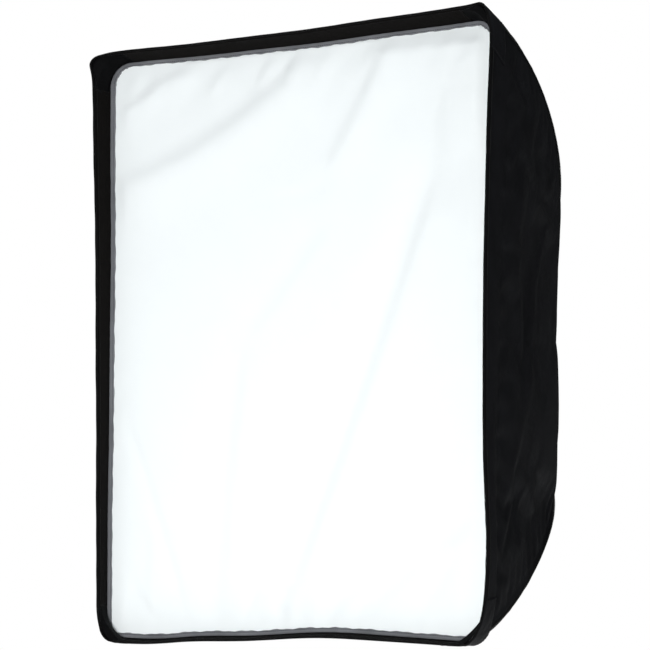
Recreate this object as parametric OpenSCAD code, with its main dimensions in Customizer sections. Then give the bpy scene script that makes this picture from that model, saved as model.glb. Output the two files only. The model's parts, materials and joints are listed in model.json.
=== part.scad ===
// Rectangular softbox for a studio flash: a cloth shell kept open by four bent rods,
// with a lipped front diffuser, an inner baffle and a rotating speed ring.
// Frame: X is the width, +Z is up, the light leaves towards -Y.
// The origin is the centre of the seat that rests on the flash head.

/* [Shell] */
// Outer width of the cloth mouth
mouth_w = 636; // [560:2:700]
// Outer height of the cloth mouth
mouth_h = 820; // [760:2:900]
// Thickness of the coated shell cloth
cloth_t = 1.2; // [1.0:0.1:1.4]
// First taper term of the bowed side profile
bow_a = 0.207; // [0.19:0.001:0.22]
// Second taper term of the bowed side profile
bow_b = 0.156; // [0.14:0.001:0.17]
// Depth of the cloth shell, as a multiple of the mouth's half height
shell_reach = 1.31; // [1.29:0.01:1.33]
// Flat facets along each bowed panel
facets = 30; // [20:1:40]

/* [Front lip and diffuser] */
// Depth of the lip in front of the diffuser
lip_d = 31; // [28:0.5:42]
// Width of the loop tape inside the lip
tape_w = 58; // [54:1:66]
// Distance of each tape's ends from the mouth's corners
tape_stop = 48; // [44:1:60]
// Corner radius of the diffuser
diffuser_r = 34; // [32:1:44]
// Width of the diffuser's edge binding
binding_w = 9; // [6:0.5:12]

/* [Inner baffle] */
// Depth of the baffle behind the mouth
baffle_d = 250; // [230:5:270]
// Width of the baffle cloth
baffle_w = 438; // [400:2:444]
// Height of the baffle cloth
baffle_h = 588; // [540:2:592]

/* [Rods] */
// Radius of each spring-steel rod
rod_r = 2.5; // [2:0.1:2.8]
// Distance of the rod's centre line inside the corner seam
rod_in = 11; // [10.5:0.1:11.5]
// Angle between the optical axis and each rod socket
socket_tilt = 70; // [69:0.5:71]

/* [Speed ring and adapter] */
// Outer radius of the speed ring
ring_r = 76; // [75.8:0.1:76.2]
// Distance from the flash seat forward to the cloth mouth
seat_back = 589; // [588:0.5:592]
// Radius of the hole that the flash tube looks through
bore_r = 44; // [42:0.5:45]
// Radius of the bayonet spigot
spigot_r = 48.9; // [48:0.1:49.5]
// Length of the bayonet spigot behind its flange
spigot_l = 13; // [12:0.5:15]

/* [Hidden] */
$fn = 96;

half_w = mouth_w / 2;
half_h = mouth_h / 2;
half_d = sqrt(half_w * half_w + half_h * half_h);
corner_angle = atan2(half_h, half_w);
bow_c = 0.005;
bow_n = 12;
black = [0.05, 0.05, 0.06];
webbing = [0.12, 0.11, 0.11];
white = [0.93, 0.95, 0.95];

// Share of the mouth's half size left at depth u, counted in half heights
function share(u) = 1 - bow_a * u - bow_b * u * u - bow_c * pow(u, bow_n);
function share_slope(u) = bow_a + 2 * bow_b * u + bow_c * bow_n * pow(u, bow_n - 1);
// Lean of a wall with half size h at depth u, from the optical axis
function lean(h, u) = atan(h / half_h * share_slope(u));
function depth_y(u) = u * half_h - seat_back;
// Point on a wall with half size h at depth u, moved inward by e
function wall(h, u, e) = [
  h * share(u) - e * cos(lean(h, u)),
  depth_y(u) - e * sin(lean(h, u))
];
function spread(u0, u1, n) = [for (i = [0:n]) u0 + (u1 - u0) * i / n];
function flip(pts) = [for (i = [len(pts) - 1:-1:0]) pts[i]];
function mirrored(pts) = [for (p = pts) [-p[0], p[1]]];

// Outline of one wall's thickness between two insets
function band(h, e0, e1, us) = concat(
  [for (u = us) wall(h, u, e0)],
  flip([for (u = us) wall(h, u, e1)])
);
// Outline of everything between two opposite walls at inset e
function between(h, e, us) = concat(
  [for (u = us) wall(h, u, e)],
  mirrored(flip([for (u = us) wall(h, u, e)]))
);
function rounded(hw, hh, r, n) = [
  for (q = [0:3])
    for (i = [0:n])
      let (a = 90 * q + 90 * i / n)
      let (sx = (q == 0 || q == 3) ? 1 : -1)
      let (sy = q < 2 ? 1 : -1)
      [sx * (hw - r) + r * cos(a), sy * (hh - r) + r * sin(a)]
];

full = spread(0, shell_reach, facets);
half_end_x = wall(half_w, shell_reach, 0)[0];
half_end_z = wall(half_h, shell_reach, 0)[0];
end_y = depth_y(shell_reach);

// An outline in X and Y, extruded along Z
module along_z(pts, h = 1000) {
  linear_extrude(height = h, center = true)
    polygon(pts);
}

// An outline in Z and Y, extruded along X
module along_x(pts, h = 1000) {
  rotate([0, -90, 0])
    linear_extrude(height = h, center = true)
      polygon(pts);
}

// An outline in X and Z, extruded from y0 forward by t
module along_y(pts, y0, t) {
  translate([0, y0, 0])
    rotate([90, 0, 0])
      linear_extrude(height = t)
        polygon(pts);
}

// A tube or disc about the optical axis, from y0 to y1
module about_axis(r, y0, y1) {
  translate([0, y1, 0])
    rotate([90, 0, 0])
      cylinder(r = r, h = y1 - y0);
}

// A box given by its low and high corners
module block(lo, hi) {
  translate(lo)
    cube(hi - lo);
}

// The space inside the shell at inset e
module inside(e, us) {
  intersection() {
    along_z(between(half_w, e, us));
    along_x(between(half_h, e, us));
  }
}

// A strip on a side wall, between two insets and two heights
module side_strip(e0, e1, us, z0, z1) {
  intersection() {
    along_z(band(half_w, e0, e1, us));
    block([0, -700, z0], [400, 100, z1]);
  }
}

// A strip on the top wall, between two insets and two positions across
module top_strip(e0, e1, us, x0, x1) {
  intersection() {
    along_x(band(half_h, e0, e1, us));
    block([x0, -700, 0], [x1, 100, 500]);
  }
}

// Places a child drawn in the corner plane, where X is the distance from the axis
module in_corner(sx, sz) {
  mirror([sx < 0 ? 1 : 0, 0, 0])
    mirror([0, 0, sz < 0 ? 1 : 0])
      rotate([0, -corner_angle, 0])
        children();
}

module all_corners() {
  for (sx = [-1, 1])
    for (sz = [-1, 1])
      in_corner(sx, sz)
        children();
}

// ---- Shell cloth ----

module side_panel() {
  intersection() {
    along_z(band(half_w, 0, cloth_t, full));
    along_x(between(half_h, 0, full));
  }
}

module top_panel() {
  intersection() {
    along_x(band(half_h, 0, cloth_t, full));
    along_z(between(half_w, cloth_t + 0.3, full));
  }
}

module shell_right() {
  color(black)
    side_panel();
}

module shell_left() {
  color(black)
    mirror([1, 0, 0])
      side_panel();
}

module shell_top() {
  color(black)
    top_panel();
}

module shell_bottom() {
  color(black)
    mirror([0, 0, 1])
      top_panel();
}

// Folded tape sewn round the front edge of the mouth
module rim_binding() {
  color(webbing)
    difference() {
      block([-half_w, -seat_back - 1.8, -half_h], [half_w, -seat_back - 0.35, half_h]);
      block([3.2 - half_w, -seat_back - 3, 3.2 - half_h],
            [half_w - 3.2, -seat_back + 1, half_h - 3.2]);
    }
}

// Webbing sewn round the rear opening, which the flaps hang on
hem_y0 = end_y + 0.2;
hem_y1 = end_y + 3;

module rear_hem() {
  color(webbing)
    difference() {
      block([-half_end_x, hem_y0, -half_end_z], [half_end_x, hem_y1, half_end_z]);
      block([2.6 - half_end_x, hem_y0 - 1, 2.6 - half_end_z],
            [half_end_x - 2.6, hem_y1 + 1, half_end_z - 2.6]);
    }
}

// Doubled cloth folded round the outside of one mouth corner
patch_us = spread(0.003, 0.112, 3);

module corner_patch(sx, sz) {
  color(black)
    mirror([sx < 0 ? 1 : 0, 0, 0])
      mirror([0, 0, sz < 0 ? 1 : 0])
        intersection() {
          difference() {
            inside(-1.1, patch_us);
            inside(-0.1, spread(-0.02, 0.14, 3));
          }
          block([half_w - 52, -seat_back, half_h - 56], [400, 0, 500]);
        }
}

module patch_top_right() {
  corner_patch(1, 1);
}

module patch_top_left() {
  corner_patch(-1, 1);
}

module patch_bottom_right() {
  corner_patch(1, -1);
}

module patch_bottom_left() {
  corner_patch(-1, -1);
}

// Binding tape folded over the corner seam, behind the patch
seam_us = spread(0.118, 1.28, 28);

module corner_seam(sx, sz) {
  color(webbing)
    mirror([sx < 0 ? 1 : 0, 0, 0])
      mirror([0, 0, sz < 0 ? 1 : 0])
        intersection() {
          difference() {
            inside(-1.1, seam_us);
            inside(-0.1, spread(0.1, 1.3, 36));
            along_z(between(half_w, 9, spread(0.1, 1.3, 36)));
            along_x(between(half_h, 9, spread(0.1, 1.3, 36)));
          }
          block([0, -700, 0], [400, 100, 500]);
        }
}

module seam_top_right() {
  corner_seam(1, 1);
}

module seam_top_left() {
  corner_seam(-1, 1);
}

module seam_bottom_right() {
  corner_seam(1, -1);
}

module seam_bottom_left() {
  corner_seam(-1, -1);
}

// ---- Rods, their pockets and their sockets ----

corner_lean = lean(half_d, 0);
pocket_us = spread(-0.02, 0.12, 4);

// Places a child at the mouth's corner: X outward from the seam, Y back along it
module at_corner() {
  translate([half_d, -seat_back, 0])
    rotate([0, 0, corner_lean])
      children();
}

// A cloth pocket across the corner that the rod's tip pushes into
module corner_pocket(sx, sz) {
  color(webbing)
    mirror([sx < 0 ? 1 : 0, 0, 0])
      mirror([0, 0, sz < 0 ? 1 : 0])
        intersection() {
          inside(cloth_t + 0.15, pocket_us);
          rotate([0, -corner_angle, 0])
            at_corner()
              difference() {
                block([-18, 6, -60], [30, 28, 60]);
                block([-16.7, 7.5, -61], [31, 29, 61]);
              }
        }
}

module pocket_top_right() {
  corner_pocket(1, 1);
}

module pocket_top_left() {
  corner_pocket(-1, 1);
}

module pocket_bottom_right() {
  corner_pocket(1, -1);
}

module pocket_bottom_left() {
  corner_pocket(-1, -1);
}

// Cylinder from a point in the corner plane, at an angle from X
module bar(p, angle, r, len) {
  translate([p[0], p[1], 0])
    rotate([0, 90, angle])
      cylinder(r = r, h = len);
}

// Moulded cap on the front tip of each rod
module rod_caps() {
  color([0.1, 0.1, 0.1])
    all_corners()
      at_corner()
        difference() {
          translate([-rod_in, 8.5, 0])
            rotate([-90, 0, 0])
              cylinder(r = 4.5, h = 14.5);
          translate([-rod_in, 11, 0])
            rotate([-90, 0, 0])
              cylinder(r = rod_r + 0.25, h = 13);
        }
}

// Centre line of a rod in the corner plane, tip first
socket_angle = socket_tilt - 90;
socket_dir = [cos(socket_angle), sin(socket_angle)];
socket_root = [ring_r + 2, -27.8];
function on_socket(s) = socket_root + s * socket_dir;
function bezier(a, b, c, d, t) =
  pow(1 - t, 3) * a + 3 * t * pow(1 - t, 2) * b
  + 3 * t * t * (1 - t) * c + pow(t, 3) * d;
ferrule_s = 3;
ferrule_l = 34;
tail = wall(half_d, shell_reach, rod_in);
tail_lean = lean(half_d, shell_reach);
tail_dir = [-sin(tail_lean), cos(tail_lean)];
rod_end = on_socket(ferrule_s + ferrule_l);
reach = norm(tail - rod_end) / 3;
rod_line = concat(
  [for (u = spread(0.0269, shell_reach, 24)) wall(half_d, u, rod_in)],
  [for (t = [0.25, 0.5, 0.75, 1])
    bezier(tail, tail + reach * tail_dir, rod_end + reach * socket_dir, rod_end, t)],
  [on_socket(ferrule_s + ferrule_l - 12)]
);
sides = 8;

function unit(v) = v / norm(v);
function heading(pts, i) =
  unit(pts[min(i + 1, len(pts) - 1)] - pts[max(i - 1, 0)]);

module rod(sx, sz) {
  rings = [
    for (i = [0:len(rod_line) - 1])
      let (h = heading(rod_line, i))
      for (k = [0:sides - 1])
        let (a = 360 * (k + 0.5) / sides)
        [
          rod_line[i][0] - h[1] * rod_r * cos(a),
          rod_line[i][1] + h[0] * rod_r * cos(a),
          rod_r * sin(a)
        ]
  ];
  last = len(rod_line) - 1;
  walls = [
    for (i = [0:last - 1])
      for (k = [0:sides - 1])
        let (a = i * sides + k)
        let (b = i * sides + (k + 1) % sides)
        [b, a, a + sides, b + sides]
  ];
  caps = [
    [for (k = [0:sides - 1]) k],
    [for (k = [sides - 1:-1:0]) last * sides + k]
  ];
  color([0.35, 0.35, 0.37])
    in_corner(sx, sz)
      polyhedron(points = rings, faces = concat(walls, caps));
}

module rod_top_right() {
  rod(1, 1);
}

module rod_top_left() {
  rod(-1, 1);
}

module rod_bottom_right() {
  rod(1, -1);
}

module rod_bottom_left() {
  rod(-1, -1);
}

// Steel sleeve on the ring end of each rod
ferrule_r = 3.9;

module rod_ferrules() {
  color([0.75, 0.75, 0.77])
    all_corners()
      difference() {
        bar(on_socket(ferrule_s), socket_angle, ferrule_r, ferrule_l);
        bar(on_socket(ferrule_s + ferrule_l - 13), socket_angle, rod_r + 0.25, 14);
      }
}

// Socket block with a foot that hugs the ring
foot_half = 13;
foot_y0 = -33;
foot_y1 = -19;
foot_screw_y = -22.4;

module rod_sockets() {
  color([0.13, 0.13, 0.14])
    all_corners()
      difference() {
        union() {
          bar(on_socket(0), socket_angle, 7.5, 24);
          block([ring_r - 8, foot_y0, -foot_half], [ring_r + 4, foot_y1, foot_half]);
        }
        about_axis(ring_r + 0.05, -60, 10);
        bar(on_socket(ferrule_s - 0.5), socket_angle, ferrule_r + 0.1, 40);
        for (s = [-1, 1])
          translate([50, foot_screw_y, 9.6 * s])
            rotate([0, 90, 0])
              cylinder(r = 1.5, h = 40);
        clamp_at(1.75);
      }
}

// Clamp screw's line, square to the ferrule from behind
module clamp_at(r) {
  p = on_socket(16);
  translate([p[0], p[1], 0])
    rotate([0, 0, socket_angle])
      translate([0, ferrule_r + 0.15, 0])
        rotate([-90, 0, 0])
          cylinder(r = r, h = 7);
}

// Set screws that hold the rods in their sockets
module clamp_screws() {
  color([0.7, 0.7, 0.72])
    all_corners()
      difference() {
        clamp_at(1.7);
        translate([on_socket(16)[0], on_socket(16)[1], 0])
          rotate([0, 0, socket_angle])
            translate([0, ferrule_r + 5, 0])
              rotate([-90, 0, 0])
                cylinder(r = 0.9, h = 4, $fn = 6);
      }
}

// Screws that fix the socket feet to the ring
module socket_screws() {
  color([0.7, 0.7, 0.72])
    all_corners()
      for (s = [-1, 1])
        translate([ring_r - 9, foot_screw_y, 9.6 * s])
          rotate([0, 90, 0]) {
            cylinder(r = 1.45, h = 13.1);
            translate([0, 0, 13.1])
              cylinder(r = 2.5, h = 1.8);
          }
}

// ---- Speed ring ----

ring_y0 = -33;
ring_y1 = -3.6;
pocket_y = -19;
lock_y = -11;

module speed_ring() {
  color([0.16, 0.16, 0.17])
    difference() {
      about_axis(ring_r, ring_y0, ring_y1);
      about_axis(64, ring_y0 - 1, ring_y1 + 1);
      about_axis(66.4, pocket_y, ring_y1 + 1);
      for (a = [30:60:330])
        rotate([0, a, 0])
          translate([71, 0, 0])
            about_axis(1.5, -13, 0);
      translate([60, lock_y, 0])
        rotate([0, 90, 0])
          cylinder(r = 4.1, h = 20);
      all_corners()
        for (s = [-1, 1])
          translate([ring_r - 9.5, foot_screw_y, 9.6 * s])
            rotate([0, 90, 0])
              cylinder(r = 1.5, h = 12);
    }
}

// Thin rear cover that keeps the insert in the ring
module retaining_ring() {
  color([0.2, 0.2, 0.21])
    difference() {
      about_axis(75.4, -3.5, -1);
      about_axis(64.2, -4, 0);
      for (a = [30:60:330])
        rotate([0, a, 0])
          translate([71, 0, 0]) {
            about_axis(1.5, -4, 0);
            about_axis(2.8, -2.4, 0);
          }
    }
}

module retaining_screws() {
  color([0.7, 0.7, 0.72])
    for (a = [30:60:330])
      rotate([0, a, 0])
        translate([71, 0, 0]) {
          about_axis(1.45, -12, -2.35);
          difference() {
            about_axis(2.7, -2.35, -1.05);
            block([-2, -1.5, -0.35], [2, 0, 0.35]);
            block([-0.35, -1.5, -2], [0.35, 0, 2]);
          }
        }
}

// Loop band glued round the ring, which the flaps stick to
module ring_loop_band() {
  color(webbing)
    difference() {
      about_axis(ring_r + 1, -32, -20.5);
      about_axis(ring_r + 0.05, -33, -20);
      all_corners()
        block([50, -40, -foot_half - 0.4], [90, 0, foot_half + 0.4]);
    }
}

// ---- Adapter that fits the flash head ----

module adapter_insert() {
  color([0.62, 0.63, 0.65])
    difference() {
      union() {
        about_axis(66, -18.6, -4);
        about_axis(63.5, -4.5, 0);
      }
      about_axis(60, -20, -9);
      about_axis(bore_r, -20, 1);
      about_axis(57, -3, 1);
      difference() {
        about_axis(67, lock_y - 4.5, lock_y + 4.5);
        about_axis(63.5, lock_y - 5, lock_y + 5);
      }
      for (a = [0:120:240])
        rotate([0, a, 0])
          translate([51.7, 0, 0])
            about_axis(1.5, -12, 0);
    }
}

// Steel bayonet with three lugs
module bayonet_ring() {
  color([0.78, 0.79, 0.8])
    difference() {
      union() {
        about_axis(55.5, -2.95, -0.6);
        about_axis(spigot_r, -1, spigot_l);
        intersection() {
          about_axis(52.5, 7, 11);
          for (a = [60:120:300])
            rotate([0, a, 0])
              translate([0, 5, 0])
                rotate([-90, 0, 0])
                  linear_extrude(height = 8)
                    polygon([[0, 0], [70, 28], [70, -28]]);
        }
      }
      about_axis(bore_r, -4, spigot_l + 1);
      for (a = [0:120:240])
        rotate([0, a, 0])
          translate([51.7, 0, 0]) {
            about_axis(1.5, -4, 0);
            about_axis(2.5, -2, 0);
          }
    }
}

module bayonet_screws() {
  color([0.7, 0.7, 0.72])
    for (a = [0:120:240])
      rotate([0, a, 0])
        translate([51.7, 0, 0]) {
          about_axis(1.45, -8.5, -1.95);
          difference() {
            about_axis(2.4, -1.95, -0.65);
            block([-2, -1.1, -0.3], [2, 0, 0.3]);
            block([-0.3, -1.1, -2], [0.3, 0, 2]);
          }
        }
}

// ---- Lock screw on the right of the ring ----

// Cylinder along X about the lock screw's line
module lock_bar(r, x0, x1) {
  translate([x0, lock_y, 0])
    rotate([0, 90, 0])
      cylinder(r = r, h = x1 - x0);
}

// Brass pad that presses into the groove of the insert
module lock_pad() {
  color([0.75, 0.6, 0.25])
    lock_bar(3.6, 63.9, 68);
}

module lock_screw() {
  color([0.7, 0.7, 0.72])
    lock_bar(4, 68.05, 96);
}

module lock_knob() {
  color([0.08, 0.08, 0.08])
    difference() {
      union() {
        lock_bar(6.5, 80, 84);
        lock_bar(9, 84, 101);
      }
      lock_bar(4, 79, 96);
      for (a = [0:45:315])
        translate([83, lock_y, 0])
          rotate([a, 0, 0])
            translate([0, 10.6, 0])
              rotate([0, 90, 0])
                cylinder(r = 2.6, h = 20, $fn = 32);
    }
}

// ---- Loop tape inside the lip ----

tape_us = spread(3 / half_h, (3 + tape_w) / half_h, 4);
tape_e0 = cloth_t + 0.1;
tape_e1 = cloth_t + 1.3;
side_tape = half_h - tape_stop;
top_tape = half_w - tape_stop;

module lip_tape_right() {
  color(webbing)
    side_strip(tape_e0, tape_e1, tape_us, -side_tape, side_tape);
}

module lip_tape_left() {
  color(webbing)
    mirror([1, 0, 0])
      side_strip(tape_e0, tape_e1, tape_us, -side_tape, side_tape);
}

module lip_tape_top() {
  color(webbing)
    top_strip(tape_e0, tape_e1, tape_us, -top_tape, top_tape);
}

module lip_tape_bottom() {
  color(webbing)
    mirror([0, 0, 1])
      top_strip(tape_e0, tape_e1, tape_us, -top_tape, top_tape);
}

// ---- Inner baffle ----

strap_z = [-200, 0, 200];
strap_x = [-140, 140];
pad_us = spread((baffle_d - 12) / half_h, (baffle_d + 12) / half_h, 2);

// Loop patches on the shell that hold the baffle's straps
module baffle_loops() {
  color(webbing) {
    for (s = [0, 1])
      mirror([s, 0, 0])
        for (z = strap_z)
          side_strip(cloth_t + 0.1, cloth_t + 1, pad_us, z - 12, z + 12);
    for (s = [0, 1])
      mirror([0, 0, s])
        for (x = strap_x)
          top_strip(cloth_t + 0.1, cloth_t + 1, pad_us, x - 12, x + 12);
  }
}

baffle_y = baffle_d - seat_back;
hem_w = 10;

module baffle_cloth() {
  color(white)
    block([hem_w - baffle_w / 2, baffle_y - 0.4, hem_w - baffle_h / 2],
          [baffle_w / 2 - hem_w, baffle_y + 0.4, baffle_h / 2 - hem_w]);
}

module baffle_hem() {
  color([0.85, 0.86, 0.86])
    difference() {
      block([-baffle_w / 2, baffle_y - 1, -baffle_h / 2],
            [baffle_w / 2, baffle_y + 1, baffle_h / 2]);
      block([hem_w - baffle_w / 2, baffle_y - 2, hem_w - baffle_h / 2],
            [baffle_w / 2 - hem_w, baffle_y + 2, baffle_h / 2 - hem_w]);
    }
}

// Straps from the baffle's hem out to the loop patches
strap_end_x = wall(half_w, baffle_d / half_h, 0)[0] - cloth_t - 2.4;
strap_end_z = wall(half_h, baffle_d / half_h, 0)[0] - cloth_t - 2.6;

module baffle_straps() {
  color([0.1, 0.1, 0.1]) {
    for (s = [0, 1])
      mirror([s, 0, 0])
        for (z = strap_z)
          block([baffle_w / 2, baffle_y - 0.6, z - 10],
                [strap_end_x, baffle_y + 0.6, z + 10]);
    for (s = [0, 1])
      mirror([0, 0, s])
        for (x = strap_x)
          block([x - 10, baffle_y - 0.6, baffle_h / 2],
                [x + 10, baffle_y + 0.6, strap_end_z]);
  }
}

// ---- Front diffuser ----

front_y = lip_d - seat_back;
cloth_y = front_y + 1.3;
back_y = cloth_y + 1;
edge_u = (back_y + seat_back) / half_h;
diffuser_hw = half_w * share(edge_u) - tape_e1 - 0.9;
diffuser_hh = half_h * share(edge_u) - tape_e1 - 0.9;

module diffuser_cloth() {
  color(white)
    along_y(rounded(diffuser_hw - 1, diffuser_hh - 1, diffuser_r - 1, 8), back_y, 1);
}

module diffuser_binding() {
  color([0.2, 0.2, 0.2])
    difference() {
      along_y(rounded(diffuser_hw, diffuser_hh, diffuser_r, 8), cloth_y - 0.1, 1.2);
      along_y(
        rounded(diffuser_hw - binding_w, diffuser_hh - binding_w, diffuser_r - binding_w, 8),
        back_y, 4
      );
    }
}

hook_us = spread((back_y + seat_back + 1) / half_h, (2 + tape_w) / half_h, 3);
hook_e0 = tape_e1 + 0.5;
hook_e1 = hook_e0 + 1.2;

module hook_tape_right() {
  color([0.09, 0.09, 0.09])
    side_strip(hook_e0, hook_e1, hook_us, -side_tape, side_tape);
}

module hook_tape_left() {
  color([0.09, 0.09, 0.09])
    mirror([1, 0, 0])
      side_strip(hook_e0, hook_e1, hook_us, -side_tape, side_tape);
}

module hook_tape_top() {
  color([0.09, 0.09, 0.09])
    top_strip(hook_e0, hook_e1, hook_us, -top_tape, top_tape);
}

module hook_tape_bottom() {
  color([0.09, 0.09, 0.09])
    mirror([0, 0, 1])
      top_strip(hook_e0, hook_e1, hook_us, -top_tape, top_tape);
}

// ---- Rear flaps that close round the ring ----

flap_t = 1.6;
flap_end = [79.5, -22];
hinge_y = hem_y1 + 1.4;
side_hinge = [half_end_x - 1, hinge_y];
top_hinge = [half_end_z - 1, hinge_y];
side_flap_dir = unit(flap_end - side_hinge);
top_flap_dir = unit(flap_end - top_hinge);
function left_of(d) = [-d[1], d[0]];

// Outline of a flap's section from s0 to s1 along it, between two offsets inward
function plank(p, d, s0, s1, o0, o1) = [
  p + s0 * d + o0 * left_of(d), p + s1 * d + o0 * left_of(d),
  p + s1 * d + o1 * left_of(d), p + s0 * d + o1 * left_of(d)
];
// Half-space inside a flap's plane, as an outline across both opposite flaps
function roof(p, d, o) =
  let (a = p + o * left_of(d))
  let (b = a + 90 * d)
  [[a[0], a[1] - 4], a, b, [-b[0], b[1]], [-a[0], a[1]], [-a[0], a[1] - 4]];

module ring_clearance() {
  about_axis(ring_r + 1.6, -60, 10);
}

module side_flap() {
  difference() {
    intersection() {
      along_z(plank(side_hinge, side_flap_dir, 0, 62, -flap_t / 2, flap_t / 2));
      along_x(roof(top_hinge, top_flap_dir, -flap_t / 2));
      block([0, -80, -300], [200, -6.5, 300]);
    }
    ring_clearance();
  }
}

module top_flap() {
  difference() {
    intersection() {
      along_x(plank(top_hinge, top_flap_dir, 0, 100, -flap_t / 2, flap_t / 2));
      along_z(roof(side_hinge, side_flap_dir, flap_t / 2 + 2.2));
      block([-200, -80, 0], [200, -6.5, 300]);
    }
    ring_clearance();
  }
}

module flap_right() {
  color(black)
    difference() {
      side_flap();
      block([60, side_hinge[1] + 18.5, -13], [100, 0, 13]);
    }
}

module flap_left() {
  color(black)
    mirror([1, 0, 0])
      side_flap();
}

module flap_top() {
  color(black)
    top_flap();
}

module flap_bottom() {
  color(black)
    mirror([0, 0, 1])
      top_flap();
}

// Hook strips on the inner face of the flaps
module side_hooks() {
  for (s = [0, 1])
    mirror([0, 0, s])
      intersection() {
        along_z(plank(side_hinge, side_flap_dir, 18, 32, flap_t / 2 + 0.05, flap_t / 2 + 1));
        block([0, -80, 16], [200, 0, 64]);
      }
}

module top_hooks() {
  intersection() {
    along_x(plank(top_hinge, top_flap_dir, 36, 50, flap_t / 2 + 0.05, flap_t / 2 + 1));
    block([-52, -80, 0], [52, 0, 200]);
  }
}

module flap_hooks_right() {
  color([0.09, 0.09, 0.09])
    side_hooks();
}

module flap_hooks_left() {
  color([0.09, 0.09, 0.09])
    mirror([1, 0, 0])
      side_hooks();
}

module flap_hooks_top() {
  color([0.09, 0.09, 0.09])
    top_hooks();
}

module flap_hooks_bottom() {
  color([0.09, 0.09, 0.09])
    mirror([0, 0, 1])
      top_hooks();
}

adapter_insert();
bayonet_ring();
bayonet_screws();
speed_ring();
retaining_ring();
retaining_screws();
ring_loop_band();
rod_sockets();
socket_screws();
clamp_screws();
rod_ferrules();
rod_top_right();
rod_top_left();
rod_bottom_right();
rod_bottom_left();
rod_caps();
pocket_top_right();
pocket_top_left();
pocket_bottom_right();
pocket_bottom_left();
shell_right();
shell_left();
shell_top();
shell_bottom();
patch_top_right();
patch_top_left();
patch_bottom_right();
patch_bottom_left();
seam_top_right();
seam_top_left();
seam_bottom_right();
seam_bottom_left();
rim_binding();
rear_hem();
lip_tape_right();
lip_tape_left();
lip_tape_top();
lip_tape_bottom();
baffle_loops();
baffle_cloth();
baffle_hem();
baffle_straps();
diffuser_cloth();
diffuser_binding();
hook_tape_right();
hook_tape_left();
hook_tape_top();
hook_tape_bottom();
flap_right();
flap_left();
flap_top();
flap_bottom();
flap_hooks_right();
flap_hooks_left();
flap_hooks_top();
flap_hooks_bottom();
lock_pad();
lock_screw();
lock_knob();
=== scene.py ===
import json
import math

import bpy
import numpy as np
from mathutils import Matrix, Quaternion, Vector
from mathutils.geometry import delaunay_2d_cdt


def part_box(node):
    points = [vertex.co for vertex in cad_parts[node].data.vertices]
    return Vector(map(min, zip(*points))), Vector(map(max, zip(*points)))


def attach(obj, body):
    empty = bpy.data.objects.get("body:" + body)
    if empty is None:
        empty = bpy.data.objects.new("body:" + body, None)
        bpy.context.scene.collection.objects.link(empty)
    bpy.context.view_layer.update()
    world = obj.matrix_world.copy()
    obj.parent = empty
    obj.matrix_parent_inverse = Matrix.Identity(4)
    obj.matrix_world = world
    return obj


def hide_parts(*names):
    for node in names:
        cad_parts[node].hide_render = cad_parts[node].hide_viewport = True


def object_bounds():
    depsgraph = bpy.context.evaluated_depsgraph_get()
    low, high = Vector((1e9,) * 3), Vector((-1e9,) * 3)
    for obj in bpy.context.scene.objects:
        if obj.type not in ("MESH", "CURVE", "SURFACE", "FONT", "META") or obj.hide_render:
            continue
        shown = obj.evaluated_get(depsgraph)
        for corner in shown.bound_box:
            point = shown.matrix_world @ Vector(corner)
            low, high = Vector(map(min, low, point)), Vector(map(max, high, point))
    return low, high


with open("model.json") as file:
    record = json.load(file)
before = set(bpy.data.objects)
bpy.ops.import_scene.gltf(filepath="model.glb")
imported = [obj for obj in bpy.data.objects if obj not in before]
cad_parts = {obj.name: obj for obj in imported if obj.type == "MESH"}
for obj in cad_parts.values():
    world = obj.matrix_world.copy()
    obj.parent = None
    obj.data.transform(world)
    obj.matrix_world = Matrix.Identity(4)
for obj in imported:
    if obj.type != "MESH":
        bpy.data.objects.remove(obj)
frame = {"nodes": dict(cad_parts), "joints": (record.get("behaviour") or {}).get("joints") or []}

CAD_BOX = [list(corner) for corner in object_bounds()]
SIDES = ("right", "top", "left", "bottom")
CORNERS = ("top_right", "top_left", "bottom_left", "bottom_right")
QUARTERS = ((1, 1), (-1, 1), (-1, -1), (1, -1))
MM = 0.001

# The cloth box, from the CAD
HALF_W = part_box("shell_right")[1].x
HALF_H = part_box("shell_right")[1].z
RIM_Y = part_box("shell_right")[0].y
END_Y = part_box("shell_right")[1].y
DEPTH = END_Y - RIM_Y
CLOTH = 1.2 * MM
BOW = (0.207, 0.156, 0.005, 12)
TAPE_END = 48 * MM
LIP_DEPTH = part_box("diffuser_binding")[0].y - RIM_Y
TAPE_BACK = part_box("lip_tape_right")[1].y - RIM_Y
PATCH_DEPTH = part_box("patch_top_right")[1].y - RIM_Y
PATCH_REACH = 56 * MM
LOOP_DEPTH = sum(p.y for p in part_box("baffle_loops")) / 2 - RIM_Y


# ==== the cloth box's surface ====


def share(u):
    return 1 - BOW[0] * u - BOW[1] * u**2 - BOW[2] * u ** BOW[3]


def slope(u):
    return BOW[0] + 2 * BOW[1] * u + BOW[2] * BOW[3] * u ** (BOW[3] - 1)


def lean(half, u):
    return np.arctan(half / HALF_H * slope(u))


def halves(side):
    """Half size out to this side at the mouth, and half length along it."""
    return (HALF_W, HALF_H) if side % 2 == 0 else (HALF_H, HALF_W)


def fillet(b):
    """Radius of the rounded corner seam at depth b behind the mouth."""
    return 0.014 - 0.010 * b


def bump_at(s, centre, width):
    return np.exp(-(((s - centre) / width) ** 2))


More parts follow.
